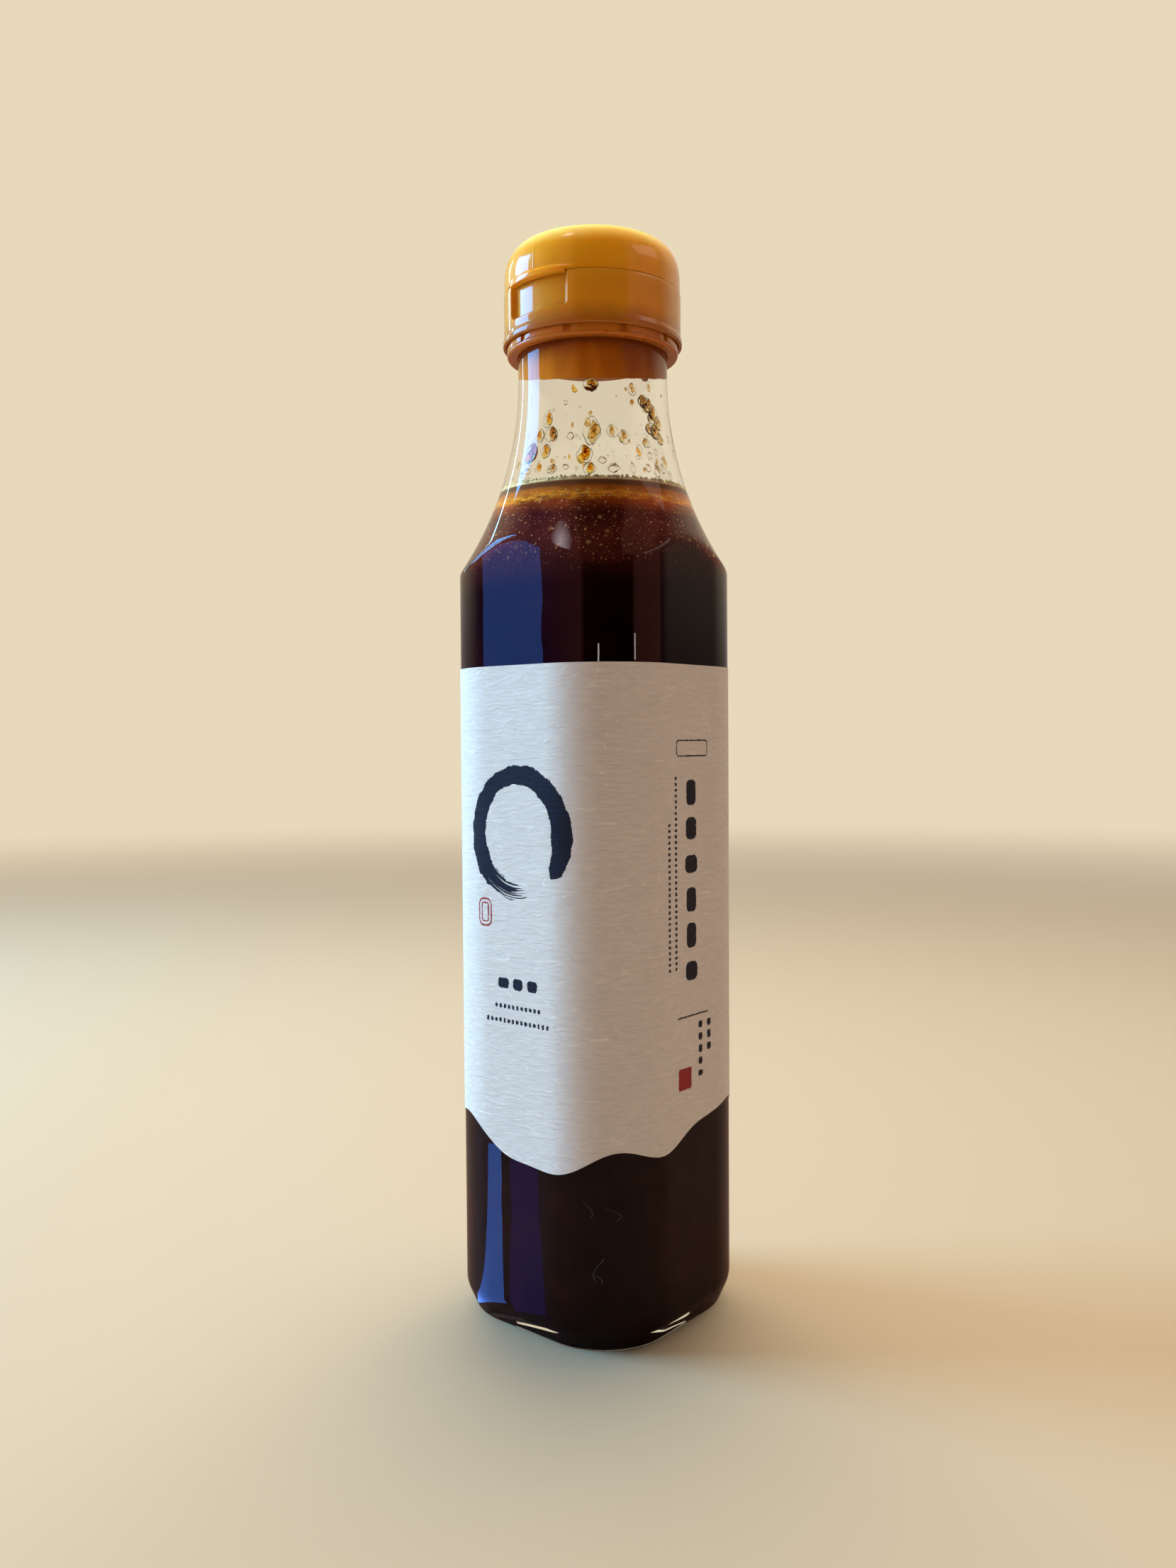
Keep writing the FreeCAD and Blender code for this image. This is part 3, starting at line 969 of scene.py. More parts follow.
def skin(name, extra, profileAt, material):
    # A turned skin whose line may change with the angle, with more spokes near the angles given;
    # it starts and ends on the axis or closes on itself
    count = closureShape["around"]
    spokes = {round(2 * math.pi * index / count - math.pi, 6) for index in range(count)}
    spokes = sorted(spokes | {round(angle, 6) for angle in extra})
    verts = []
    for angle in spokes:
        line = profileAt(angle)
        verts += [(r * math.sin(angle) * mm, -r * math.cos(angle) * mm, z * mm) for r, z in line]
    faces = gridFaces(len(spokes), len(line), wrapRows=line[0][0] > 0.01)
    return newPiece(name, verts, faces, material)


def easeStep(value, low, high):
    t = min(1.0, max(0.0, (value - low) / (high - low)))
    return t * t * (3 - 2 * t)


def bothSides(values):
    return [side * value for value in values for side in (-1, 1)]


def recessDepth(angle, z):
    # How far inside the thumb recess a spot is, from 0 on the skin to 1 on its floor
    shape = closureShape
    if math.cos(angle) < 0:
        return 0.0
    aside = abs(shape["collarRadius"] * math.sin(angle)) - (shape["recessHalf"] - shape["recessCorner"])
    below = (shape["recessLow"] + shape["recessCorner"]) - z
    away = math.hypot(aside, below) if aside > 0 and below > 0 else max(aside, below)
    return easeStep(shape["recessCorner"] - away, -shape["recessEdge"] * 0.2, shape["recessEdge"])


def buildCollar():
    shape = closureShape
    line = easeCorners([
        (0.0, 212.4), (6.7, 212.4), (6.7, 217.6), (8.55, 217.6), (8.0, 216.6), (8.0, 212.4), (16.05, 212.4),
        (16.45, 213.0), (18.6, 213.0), (18.6, 212.0),
    ], [0, 0.2, 0.3, 0.22, 0.4, 0.5, 0.15, 0.15, 0.25, 0], 4)
    heights = [211.6, 211.0, 210.4, 209.8, 209.2, 208.6, 208.0, 207.5, 207.1]
    heights += [207.0 - 0.1 * step for step in range(15)]
    line += [(18.6, z) for z in heights + [205.3, 205.0]]
    line += easeCorners([
        (18.6, 204.9), (18.6, 204.35), (18.85, 203.5), (18.85, 202.4), (18.1, 202.4), (18.1, 203.9),
        (16.35, 203.9), (16.35, 211.0), (0.0, 211.0),
    ], [0, 0.8, 0.5, 0.35, 0.3, 0.1, 0.1, 0.1, 0], 4)

    def profileAt(angle):
        made = []
        for r, z in line:
            if r > 17.4 and 205.0 < z <= 213.01:
                r += (min(r, shape["recessFloor"]) - r) * recessDepth(angle, z)
            made.append((r, z))
        return made

    edge = math.asin(shape["recessHalf"] / shape["collarRadius"])
    extra = bothSides(edge + step * 0.0045 for step in range(-16, 6))
    return skin("closureCollar", extra, profileAt, finishes["collar"])


def lipReachAt(angle):
    # Radius of the lip's crescent at an angle from the front
    shape = closureShape
    back = shape["lipReach"] - shape["lipCircle"]
    toward = back * math.cos(angle)
    return toward + math.sqrt(max(0.0, shape["lipCircle"] ** 2 - back ** 2 + toward ** 2))


def buildLid():
    shape = closureShape
    low = shape["seam"] + shape["gap"]
    top, wall, radius = shape["lidTop"], shape["lidWall"], shape["lidRadius"]
    across, down = shape["edgeAcross"], shape["edgeDown"]
    centre = (radius - across, top - down)
    outer = [(centre[0] * share, top) for share in (0.0, 0.2, 0.4, 0.6, 0.8)]
    for step in range(25):
        t = math.pi / 2 * step / 24
        outer.append((centre[0] + across * math.sin(t), centre[1] + down * math.cos(t)))
    outer += [(radius, z) for z in (215.8, 215.5, 215.2, 214.95, 214.75, 214.6)]
    # Each row of the lip: how far short of its full reach, and its height
    lip = [
        (9.0, 214.5), (1.3, 214.5), (1.06, 214.485), (0.88, 214.42), (0.66, 214.22), (0.4, 213.99),
        (0.14, 213.77), (0.03, 213.66), (0.0, 213.55), (0.0, 213.3), (0.0, low + 0.12), (0.035, low + 0.035),
        (0.12, low),
    ]
    inner = [(radius - wall, low), (radius - wall, low + 0.3), (radius - wall, centre[1])]
    for step in range(1, 13):
        t = math.pi / 2 * (1 - step / 12)
        inner.append((centre[0] + (across - wall) * math.sin(t), centre[1] + (down - wall) * math.cos(t)))
    inner += [(centre[0] * 0.5, top - wall), (0.0, top - wall)]

    def profileAt(angle):
        front = math.cos(angle) > 0
        reach = lipReachAt(angle) if front else 0.0
        aside = abs(shape["collarRadius"] * math.sin(angle))
        tab = 1.0 - easeStep(aside, shape["lipHalf"], shape["lipHalf"] + 0.12) if front else 0.0
        ridge = shape["mouldLine"] * math.exp(-(math.degrees(angle) / 0.28) ** 2)
        line = [(r + ridge * min(1.0, r / 14.0), z) for r, z in outer]
        for short, z in lip:
            r = max(radius - (0.12 if z <= low else 0.0), reach - short)
            line.append((r, z - shape["lipDrop"] * tab * easeStep(213.6 - z, 0.0, 0.5)))
        foot = low - shape["lipDrop"] * tab
        return line + [(radius - 0.75, foot), (radius - 0.85, foot), (radius - 0.87, low)] + inner

    tip = math.asin(shape["lipHalf"] / shape["collarRadius"])
    extra = bothSides(tip + step * 0.002 for step in range(-2, 6))
    extra += bothSides(math.radians(step) for step in (0.0, 0.12, 0.24, 0.36, 0.5, 0.7, 1.0, *range(26, 44)))
    return skin("closureLid", extra, profileAt, finishes["lid"])


def hingeKnuckle(low, high):
    # A short rod along X with rounded ends
    radius = closureShape["hingeRadius"]
    ends = [(low, 0.0), (low, radius - 0.2), (low + 0.06, radius - 0.06), (low + 0.2, radius),
            (high - 0.2, radius), (high - 0.06, radius - 0.06), (high, radius - 0.2), (high, 0.0)]
    verts = []
    around = 32
    for step in range(around):
        turn = 2 * math.pi * step / around
        for x, r in ends:
            y, z = closureShape["hingeReach"] + r * math.cos(turn), closureShape["seam"] + r * math.sin(turn)
            verts.append((x * mm, y * mm, z * mm))
    return verts, gridFaces(around, len(ends), flip=True)


def webBlock(low, high, bottom, top):
    # What joins a knuckle to the wall
    depths = (closureShape["hingeRoot"], closureShape["hingeReach"])
    verts = [(x * mm, y * mm, z * mm) for x in (low, high) for y in depths for z in (bottom, top)]
    return verts, [(0, 1, 3, 2), (4, 6, 7, 5), (0, 4, 5, 1), (2, 3, 7, 6), (0, 2, 6, 4), (1, 5, 7, 3)]


def buildPads():
    # One raised block of the band and a tree that sets it round the ring
    tree, into = newTree("blocksAround", {"Count": 10, "First": 0.0})
    points = wire(tree, "GeometryNodePoints", {"Count": into["Count"]})
    turn = wire(tree, "GeometryNodeInputIndex") * (2 * math.pi / into["Count"]) + into["First"]
    spin = wire(tree, "FunctionNodeEulerToRotation", {0: vectorOf(tree, 0.0, 0.0, turn)})
    placed = wire(tree, "GeometryNodeInstanceOnPoints", {
        "Points": points, "Instance": into["Geometry"], "Rotation": spin,
    })
    closeTree(tree, placed, into["Finish"])
    step = 2 * math.pi / closureShape["pads"]
    gap = 1.5 / 18.0
    line = easeCorners([(17.3, 201.1), (18.0, 201.1), (18.0, 203.9), (17.3, 203.9)], [0, 0.16, 0.1, 0], 3)
    columns = 15
    verts = []
    for column in range(columns):
        turn = gap + (step - gap) * (column / (columns - 1))
        pinch = 0.1 if column in (0, columns - 1) else 0.0
        verts += [ringSpot(r - (pinch if r > 17.9 else 0.0), turn, z) for r, z in line]
    count = len(line)
    faces = gridFaces(columns, count, wrapColumns=False, wrapRows=True)
    faces.append(tuple(range(count - 1, -1, -1)))
    faces.append(tuple((columns - 1) * count + row for row in range(count)))
    mesh = bpy.data.meshes.new("padBlock")
    mesh.from_pydata(verts, [], faces)
    first = math.radians(closureShape["padFirst"])
    values = {"Count": closureShape["pads"], "First": first, "Finish": finishes["band"]}
    return growPiece("bandBlocks", mesh, tree, values)


print("moulding the closure")
collarPiece = buildCollar()
lidPiece = buildLid()
bandLine = easeCorners([
    (15.75, 202.0), (15.75, 200.4), (17.75, 200.4), (18.0, 200.75), (18.0, 201.1), (17.55, 201.1),
    (17.55, 203.9), (15.75, 203.9), (15.75, 202.0),
], [0, 0.2, 0.15, 0.2, 0.12, 0.1, 0.1, 0.1, 0], 3)
bandPiece = turnPiece("bandRing", [(r, 0.0, z) for r, z in bandLine], "band")
padsPiece = buildPads()
plugLine = easeCorners([
    (11.25, 208.0), (11.25, 203.0), (11.65, 202.6), (12.3, 202.6), (13.02, 203.5), (13.02, 204.1),
    (12.4, 205.2), (12.4, 211.0), (11.25, 211.0), (11.25, 208.0),
], [0, 0.3, 0.2, 0.25, 0.25, 0.25, 0.6, 0, 0, 0], 4)
plugPiece = turnPiece("sealPlug", [(r, 0.0, z) for r, z in shareOut(plugLine, 2.0)], "plug")
outerKnuckles = joined([
    hingeKnuckle(2.3, 6.2), hingeKnuckle(-6.2, -2.3), webBlock(2.3, 6.2, 212.1, 213.0),
    webBlock(-6.2, -2.3, 212.1, 213.0),
])
knucklePiece = newPiece("hingeKnuckles", *outerKnuckles, finishes["collar"])
middleKnuckle = joined([hingeKnuckle(-2.1, 2.1), webBlock(-2.1, 2.1, 213.1, 213.9)])
pinPiece = newPiece("hingePin", *middleKnuckle, finishes["lid"])


# Drops, froth and lint

# Drops inside the neck by kind: bearing from the front in degrees, height, width, tallness
neckDrops = [
    (2.5, 185.1, 1.5, 2.9, "amber"), (-3.5, 181.8, 1.5, 2.2, "amber"), (6.8, 181.8, 2.0, 2.6, "brown"),
    (-9.9, 178.4, 2.6, 3.7, "amber"), (3.9, 178.3, 1.5, 2.4, "amber"), (11.1, 175.9, 1.1, 0.65, "brown"),
    (11.4, 174.3, 1.3, 1.5, "brown"), (0.2, 174.8, 1.0, 1.3, "amber"), (-10.0, 174.4, 1.5, 1.5, "clear"),
    (-22.7, 176.5, 0.8, 1.5, "brown"), (33.4, 177.0, 2.2, 3.3, "amber"), (22.5, 176.5, 0.65, 0.9, "amber"),
    (38.3, 182.0, 2.4, 5.3, "brown"), (37.1, 174.0, 1.7, 2.0, "amber"), (21.0, 174.4, 1.3, 1.3, "clear"),
    (28.3, 173.9, 0.65, 0.9, "clear"), (52.9, 174.0, 2.2, 2.2, "clear"), (45.7, 175.6, 1.5, 1.7, "clear"),
    (54.1, 182.0, 1.5, 2.2, "brown"), (62.8, 180.9, 1.5, 2.6, "brown"), (66.6, 179.9, 0.65, 0.9, "brown"),
    (75.4, 174.0, 0.9, 1.1, "brown"), (66.4, 174.2, 1.1, 2.6, "clear"), (73.2, 191.1, 1.3, 2.0, "brown"),
    (66.8, 190.8, 0.65, 0.8, "brown"), (73.0, 188.1, 1.1, 1.1, "brown"), (84.2, 188.9, 2.2, 2.0, "brown"),
    (89.0, 188.4, 1.9, 2.6, "brown"), (94.5, 186.9, 1.9, 2.8, "brown"), (99.0, 185.0, 1.6, 2.4, "brown"),
    (90.5, 185.6, 1.3, 1.6, "brown"), (88.0, 183.2, 1.7, 2.0, "brown"), (93.5, 182.9, 2.0, 2.7, "brown"),
    (98.5, 181.6, 1.4, 2.0, "brown"), (81.6, 180.1, 1.3, 1.5, "brown"), (98.9, 176.8, 1.1, 2.6, "brown"),
    (88.1, 175.9, 0.65, 2.2, "brown"), (111.9, 182.1, 0.9, 2.6, "brown"), (116.2, 179.2, 0.65, 2.6, "brown"),
    (92.4, 192.1, 0.9, 1.8, "brown"), (37.9, 191.6, 2.2, 2.2, "brown"), (24.4, 190.9, 1.1, 1.5, "amber"),
    (37.8, 185.5, 0.8, 1.3, "brown"), (23.1, 183.3, 0.8, 1.3, "brown"), (22.7, 180.9, 1.3, 1.75, "clear"),
    (17.4, 188.0, 0.9, 1.1, "clear"), (25.0, 198.6, 2.0, 1.1, "clear"), (62.0, 198.4, 1.4, 1.3, "clear"),
    (76.0, 195.6, 1.2, 1.7, "clear"), (54.0, 195.9, 1.1, 1.7, "clear"), (88.0, 194.6, 1.9, 2.9, "clear"),
    (94.0, 197.4, 1.5, 2.4, "clear"), (79.0, 174.6, 1.2, 1.9, "clear"), (86.0, 173.9, 1.3, 2.0, "clear"),
    (93.0, 174.9, 1.2, 2.2, "clear"), (83.0, 177.4, 1.0, 1.5, "clear"), (100.0, 173.8, 1.0, 1.8, "clear"),
    (90.0, 178.3, 0.9, 1.4, "clear"), (72.0, 176.6, 0.9, 1.1, "clear"), (-16.0, 173.9, 1.1, 1.3, "clear"),
    (9.0, 173.8, 1.0, 1.1, "clear"), (150.0, 178.0, 1.8, 2.8, "brown"), (172.0, 183.0, 1.4, 2.4, "amber"),
    (-160.0, 176.0, 1.6, 2.2, "amber"), (-132.0, 181.0, 1.2, 2.6, "brown"), (-108.0, 175.5, 1.5, 1.8, "clear"),
    (-84.0, 179.5, 1.3, 2.2, "amber"), (-62.0, 174.8, 1.2, 1.5, "clear"), (-48.0, 184.0, 0.9, 1.7, "brown"),
    (200.0, 189.0, 1.0, 1.8, "brown"),
]


def wallPlace(bearing, height):
    # A spot on the inside of the turned wall, with the ways across, up and out of it
    radius, slope = wallRadius(height, bottleShape["wall"])
    out, across = waysAt(math.radians(bearing))
    rise = (Vector((0, 0, 1)) + out * slope).normalized()
    return out * radius + Vector((0, 0, height)), across, rise, across.cross(rise)


def blob(bearing, height, width, tall, seed, bulge, sink, around=18, rings=11, rough=0.3):
    # A drop clinging to the inside of the wall, fuller at its foot
    spot, across, rise, out = wallPlace(bearing, height)
    verts = []
    shift = Vector((seed * 7.3, seed * 1.9, seed * 4.1))
    for ring in range(rings + 1):
        lat = math.pi * ring / rings - math.pi / 2
        for step in range(around):
            lon = 2 * math.pi * step / around
            x, y, z = math.cos(lat) * math.cos(lon), math.cos(lat) * math.sin(lon), math.sin(lat)
            lump = 1.0 + rough * noise.noise(Vector((x, y, z)) * 1.5 + shift)
            pinch = 1.0 - 0.28 * max(0.0, y)
            reach = sink if z > 0 else bulge
            aside = across * (x * width / 2 * lump * pinch)
            verts.append((spot + aside + rise * (y * tall / 2 * lump) + out * (z * reach)) * mm)
    return verts, gridFaces(rings + 1, around, wrapColumns=False, wrapRows=True, flip=True)


def clot(bearing, height, width, tall, seed):
    # Several lumps heaped into one ragged clot
    parts = []
    count = max(2, min(5, round(width * tall * 0.7)))
    radius = wallRadius(height, bottleShape["wall"])[0]
    for index in range(count):
        sway = noise.noise(Vector((seed * 3.1, index * 5.7, 0.3)))
        lift = noise.noise(Vector((index * 4.3, seed * 2.9, 9.1)))
        share = (index + 0.5) / count * 2 - 1
        up = -share * tall * 0.36 + lift * 0.3
        size = width * (0.7 + 0.12 * share) * (0.8 + 0.5 * abs(lift))
        turn = bearing + math.degrees(sway * width * 0.55 / radius)
        long, bulge = size * 1.15 + tall * 0.12, 0.22 * width + 0.08
        parts.append(blob(turn, height + up, size, long, seed * 10 + index, bulge, 0.1, 14, 9, 0.5))
    return joined(parts)


def buildClots(kind):
    chosen = [(seed, drop) for seed, drop in enumerate(neckDrops) if drop[4] == kind]
    parts = [clot(*drop[:4], seed + 1) for seed, drop in chosen]
    piece = newPiece(kind + "Clots", *joined(parts), finishes[kind], 180)
    # How far down its own drop each point is, for the painted light at the foot to follow
    marks = [(wallPlace(*drop[:2])[0], drop[3]) for _, drop in chosen]
    values = np.zeros(len(piece.data.vertices), dtype=np.float32)
    for vertex in piece.data.vertices:
        spot = vertex.co / mm
        centre, tall = min(marks, key=lambda mark: (mark[0] - spot).length_squared)
        values[vertex.index] = min(1.0, max(0.0, 0.5 - (spot.z - centre.z) / tall))
    layer = piece.data.attributes.new("downShare", "FLOAT", "POINT")
    layer.data.foreach_set("value", values)
    return piece


def buildDroplets():
    # Plain clear droplets, and the wider film round the larger clots
    parts = []
    for seed, (bearing, height, width, tall, kind) in enumerate(neckDrops):
        if kind == "clear":
            parts.append(blob(bearing, height, width, tall, seed, 0.34 * width, 0.1))
        elif width > 1.2:
            span, long = width * 1.25 + 0.35, tall * 1.1 + 0.5
            parts.append(blob(bearing, height - 0.15, span, long, seed, 0.2 * width, 0.08, 26, 12, 0.18))
    return newPiece("clearDrops", *joined(parts), finishes["clear"], 180)


filmShape = {
    "low": 192.6, "high": 203.2, "middle": 40.0, "spread": 150.0, "climb": 10.4, "thick": 0.22, "bead": 0.5,
    "ripple": 0.22, "sink": 0.06, "columns": 180, "rows": 16,
}


def buildFilm():
    # A sheet down one side of the bore; its rolled lower edge climbs into the closure at both ends
    shape = filmShape
    columns, rows = shape["columns"], shape["rows"]
    inner, outer = [], []
    for column in range(columns + 1):
        share = (column / columns * 2 - 1) * 0.96
        bearing = shape["middle"] + shape["spread"] * share
        wave = noise.noise(Vector((bearing * 0.09, 3.3, 0.0)))
        wave += 0.5 * noise.noise(Vector((bearing * 0.31, 7.1, 0.0)))
        low = shape["low"] + shape["ripple"] * wave + shape["climb"] * share ** 2
        for row in range(rows + 1):
            height = low + (shape["high"] - low) * (row / rows) ** 1.7
            spot, _, _, out = wallPlace(bearing, height)
            roll = math.exp(-((height - low - 0.3) / 0.28) ** 2)
            thick = (shape["thick"] + (shape["bead"] - shape["thick"]) * roll) * (1.0 - 0.7 * share ** 2)
            if row in (0, rows):
                thick = 0.04
            inner.append((spot - out * thick) * mm)
            outer.append((spot + out * shape["sink"]) * mm)
    count, total = rows + 1, (columns + 1) * (rows + 1)
    faces = gridFaces(columns + 1, count, wrapColumns=False)
    faces += [tuple(total + index for index in (a, d, c, b)) for a, b, c, d in faces]
    for a in range(0, columns * count, count):
        b = a + count
        faces.append((a, total + a, total + b, b))
        faces.append((a + rows, b + rows, total + b + rows, total + a + rows))
    for a in range(rows):
        b = columns * count + a
        faces.append((a, a + 1, total + a + 1, total + a))
        faces.append((b, total + b, total + b + 1, b + 1))
    return newPiece("neckResidue", inner + outer, faces, finishes["residue"], 60)


def randomAt(tree, low, high, seed):
    return wire(tree, "FunctionNodeRandomValue", {2: low, 3: high, "Seed": seed}, 1, data_type="FLOAT")


def ballsOn(tree, points, size, flatness, **more):
    ball = wire(tree, "GeometryNodeMeshIcoSphere", {"Radius": 1.0, "Subdivisions": 2}, "Mesh")
    scale = vectorOf(tree, size, size, size * flatness)
    inputs = {"Points": points, "Instance": ball, "Scale": scale, **more}
    return wire(tree, "GeometryNodeInstanceOnPoints", inputs)


def buildMist():
    # Fine droplets scattered over the inside of the neck, thicker near the liquid
    tree, into = newTree("fineMist", {
        "Density": 60000.0, "Smallest": 0.00012, "Largest": 0.00036, "Thick Below": 0.175,
        "Clear Above": 0.194, "Seed": 4,
    })
    height = split(tree, wire(tree, "GeometryNodeInputPosition"))[2]
    share = height.remap(into["Thick Below"], into["Clear Above"], 1.0, 0.12)
    points = addNode(tree, "GeometryNodeDistributePointsOnFaces", {
        "Mesh": into["Geometry"], "Density": into["Density"] * share, "Seed": into["Seed"],
    })
    size = randomAt(tree, into["Smallest"], into["Largest"], into["Seed"])
    spots, spins = Wire(tree, points.outputs["Points"]), Wire(tree, points.outputs["Rotation"])
    closeTree(tree, ballsOn(tree, spots, size, 0.6, Rotation=spins), into["Finish"])
    verts = []
    heights = [172.9 + step for step in range(21)]
    around = 48
    for z in heights:
        radius = wallRadius(z, bottleShape["wall"])[0] + 0.02
        verts += [ringSpot(radius, 2 * math.pi * step / around, z) for step in range(around)]
    mesh = bpy.data.meshes.new("mistGround")
    mesh.from_pydata(verts, [], gridFaces(len(heights), around, wrapColumns=False, wrapRows=True, flip=True))
    return growPiece("fineMist", mesh, tree, {"Finish": finishes["clear"]}, 180)


def buildBeads(name, height, spread, count, smallest, largest, finish, seed):
    # Small bubbles round the edge of a level, pressed against the wall
    tree, into = newTree(name + "Tree", {
        "Count": count, "Radius": 0.02, "Height": 0.17, "Spread": 0.0003, "Slope": 0.0, "Smallest": 0.0001,
        "Largest": 0.0003, "Seed": seed,
    })
    points = wire(tree, "GeometryNodePoints", {"Count": into["Count"]})
    turn = randomAt(tree, 0.0, 2 * math.pi, into["Seed"])
    sway = randomAt(tree, -1.0, 1.0, into["Seed"] + 1)
    cast = randomAt(tree, 0.0, 1.0, into["Seed"] + 2)
    size = cast.op("POWER", 2.5) * (into["Largest"] - into["Smallest"]) + into["Smallest"]
    rise = sway * abs(sway) * into["Spread"]
    away = rise * into["Slope"] + into["Radius"] - size * 0.55
    spot = vectorOf(tree, away * turn.op("COSINE"), away * turn.op("SINE"), into["Height"] + rise)
    moved = wire(tree, "GeometryNodeSetPosition", {"Geometry": points, "Position": spot})
    closeTree(tree, ballsOn(tree, moved, size, 1.0), into["Finish"])
    radius, slope = wallRadius(height, bottleShape["wall"] - 0.16)
    values = {
        "Radius": radius * mm, "Height": height * mm, "Spread": spread * mm, "Slope": slope,
        "Smallest": smallest * mm, "Largest": largest * mm, "Finish": finishes[finish],
    }
    return growPiece(name, bpy.data.meshes.new(name + "Seed"), tree, values, 180)


# Hairs on the glass: bearing from the front, lower and upper height, bend in degrees, radius
lintStrands = [
    (36.0, 27.5, 30.6, 1.6, 0.022), (46.5, 27.0, 29.6, 2.6, 0.018), (38.5, 15.2, 19.4, -1.8, 0.02),
    (40.0, 14.6, 16.4, 1.2, 0.02),
]


def sideRadius(turn):
    # How far the body's skin is from the axis at a bearing
    half, corner = bottleShape["side"] / 2, bottleShape["corner"]
    flat = half - corner
    folded = (turn + math.pi / 4) % (math.pi / 2) - math.pi / 4
    toward = flat * (math.cos(folded) + abs(math.sin(folded)))
    if half * abs(math.tan(folded)) > flat:
        return toward + math.sqrt(max(0.0, corner ** 2 - 2 * flat ** 2 + toward ** 2))
    return half / math.cos(folded)


def buildLint():
    # Stray hairs lying on the outside of the glass, near the foot
    steps, sides = 22, 5
    parts = []
    for bearing, low, high, bend, radius in lintStrands:
        verts = []
        for step in range(steps + 1):
            t = step / steps
            turn = math.radians(bearing + bend * (math.sin(t * 4.0) - 0.7 * t + 0.25 * math.sin(t * 11.0)))
            z = low + (high - low) * (t + 0.08 * math.sin(t * 7.0))
            out, across = waysAt(turn)
            spot = out * (sideRadius(turn) + radius * 0.9) + Vector((0, 0, z))
            for side in range(sides):
                spin = 2 * math.pi * side / sides
                rim = across * (radius * math.cos(spin)) + out * (radius * math.sin(spin))
                verts.append((spot + rim) * mm)
        faces = gridFaces(steps + 1, sides, wrapColumns=False, wrapRows=True, flip=True)
        faces.append(tuple(reversed(range(sides))))
        faces.append(tuple(steps * sides + side for side in range(sides)))
        parts.append((verts, faces))
    return newPiece("lintHairs", *joined(parts), finishes["lint"], 180)


def buildLintFinish():
    material, tree, sockets = newFinish("lintFibre", Roughness=0.7, Sheen_Weight=0.3)
    cast = noiseAt(tree, objectPlace(tree), 500.0, 1.0)
    feed(sockets["Base Color"], mixColour(tree, cast, (0.05, 0.055, 0.08), (0.26, 0.27, 0.32)))
    return material


finishes["lint"] = buildLintFinish()
print("adding drops, froth and lint")
dropPieces = [buildClots("amber"), buildClots("brown"), buildDroplets(), buildFilm()]
mistPiece = buildMist()
# Both kinds of bead are painted bright, standing in for the glints of bubbles
goldPiece = buildBeads("goldBeads", sauceTop - 0.5, 1.1, 1400, 0.04, 0.19, "gold", 11)
frothPiece = buildBeads("frothBeads", oilTop + 0.1, 0.22, 560, 0.12, 0.46, "froth", 23)
lintPiece = buildLint()


# What stands for what

def settle(piece, body):
    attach(piece, body)


for piece, body, slot, node in (
    (glassPiece, "bottle", "glass", "bottle_glass"), (saucePiece, "bottle", "sauce", "sauce"),
    (oilPiece, "bottle", "oil", "oil_layer"), (labelPiece, "bottle", "label", "label_paper"),
    (collarPiece, "bottle", "collar", "cap_collar"), (bandPiece, "bottle", "band", "cap_band"),
    (plugPiece, "bottle", "plug", "cap_plug"), (lidPiece, "lid", "lid", "cap_lid"),
):
    settle(piece, body)
    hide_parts(node)
settle(padsPiece, "bottle")
settle(knucklePiece, "bottle")
settle(pinPiece, "lid")
settle(mistPiece, "bottle")
settle(goldPiece, "bottle")
settle(frothPiece, "bottle")
settle(lintPiece, "bottle")
for piece in dropPieces:
    settle(piece, "bottle")


# Floor, light and camera

studio = {
    "backdrop": (0.81, 0.69, 0.495), "floor": (0.34, 0.285, 0.22), "ambient": (0.32, 0.225, 0.17),
    "behind": (0.60, 0.50, 0.36), "aside": (0.10, 0.065, 0.045), "paintedFloorShade": (0.11, 0.06, 0.045),
    "floorRings": (0.2, 0.5, 1.0, 2.0, 5.0), "floorAround": 96,
}
# What gloss shows of the near side of the room, by bearing from the front
roomBands = [
    (-90, (0.10, 0.04, 0.16)), (-46, (0.07, 0.03, 0.10)), (-38, (0.10, 0.03, 0.12)), (13, (0.30, 0.09, 0.08)),
    (18, (0.004, 0.001, 0.001)), (84, (0.004, 0.001, 0.001)), (89, (0.36, 0.12, 0.09)),
    (128, (0.36, 0.12, 0.09)), (134, (0.05, 0.02, 0.03)),
]


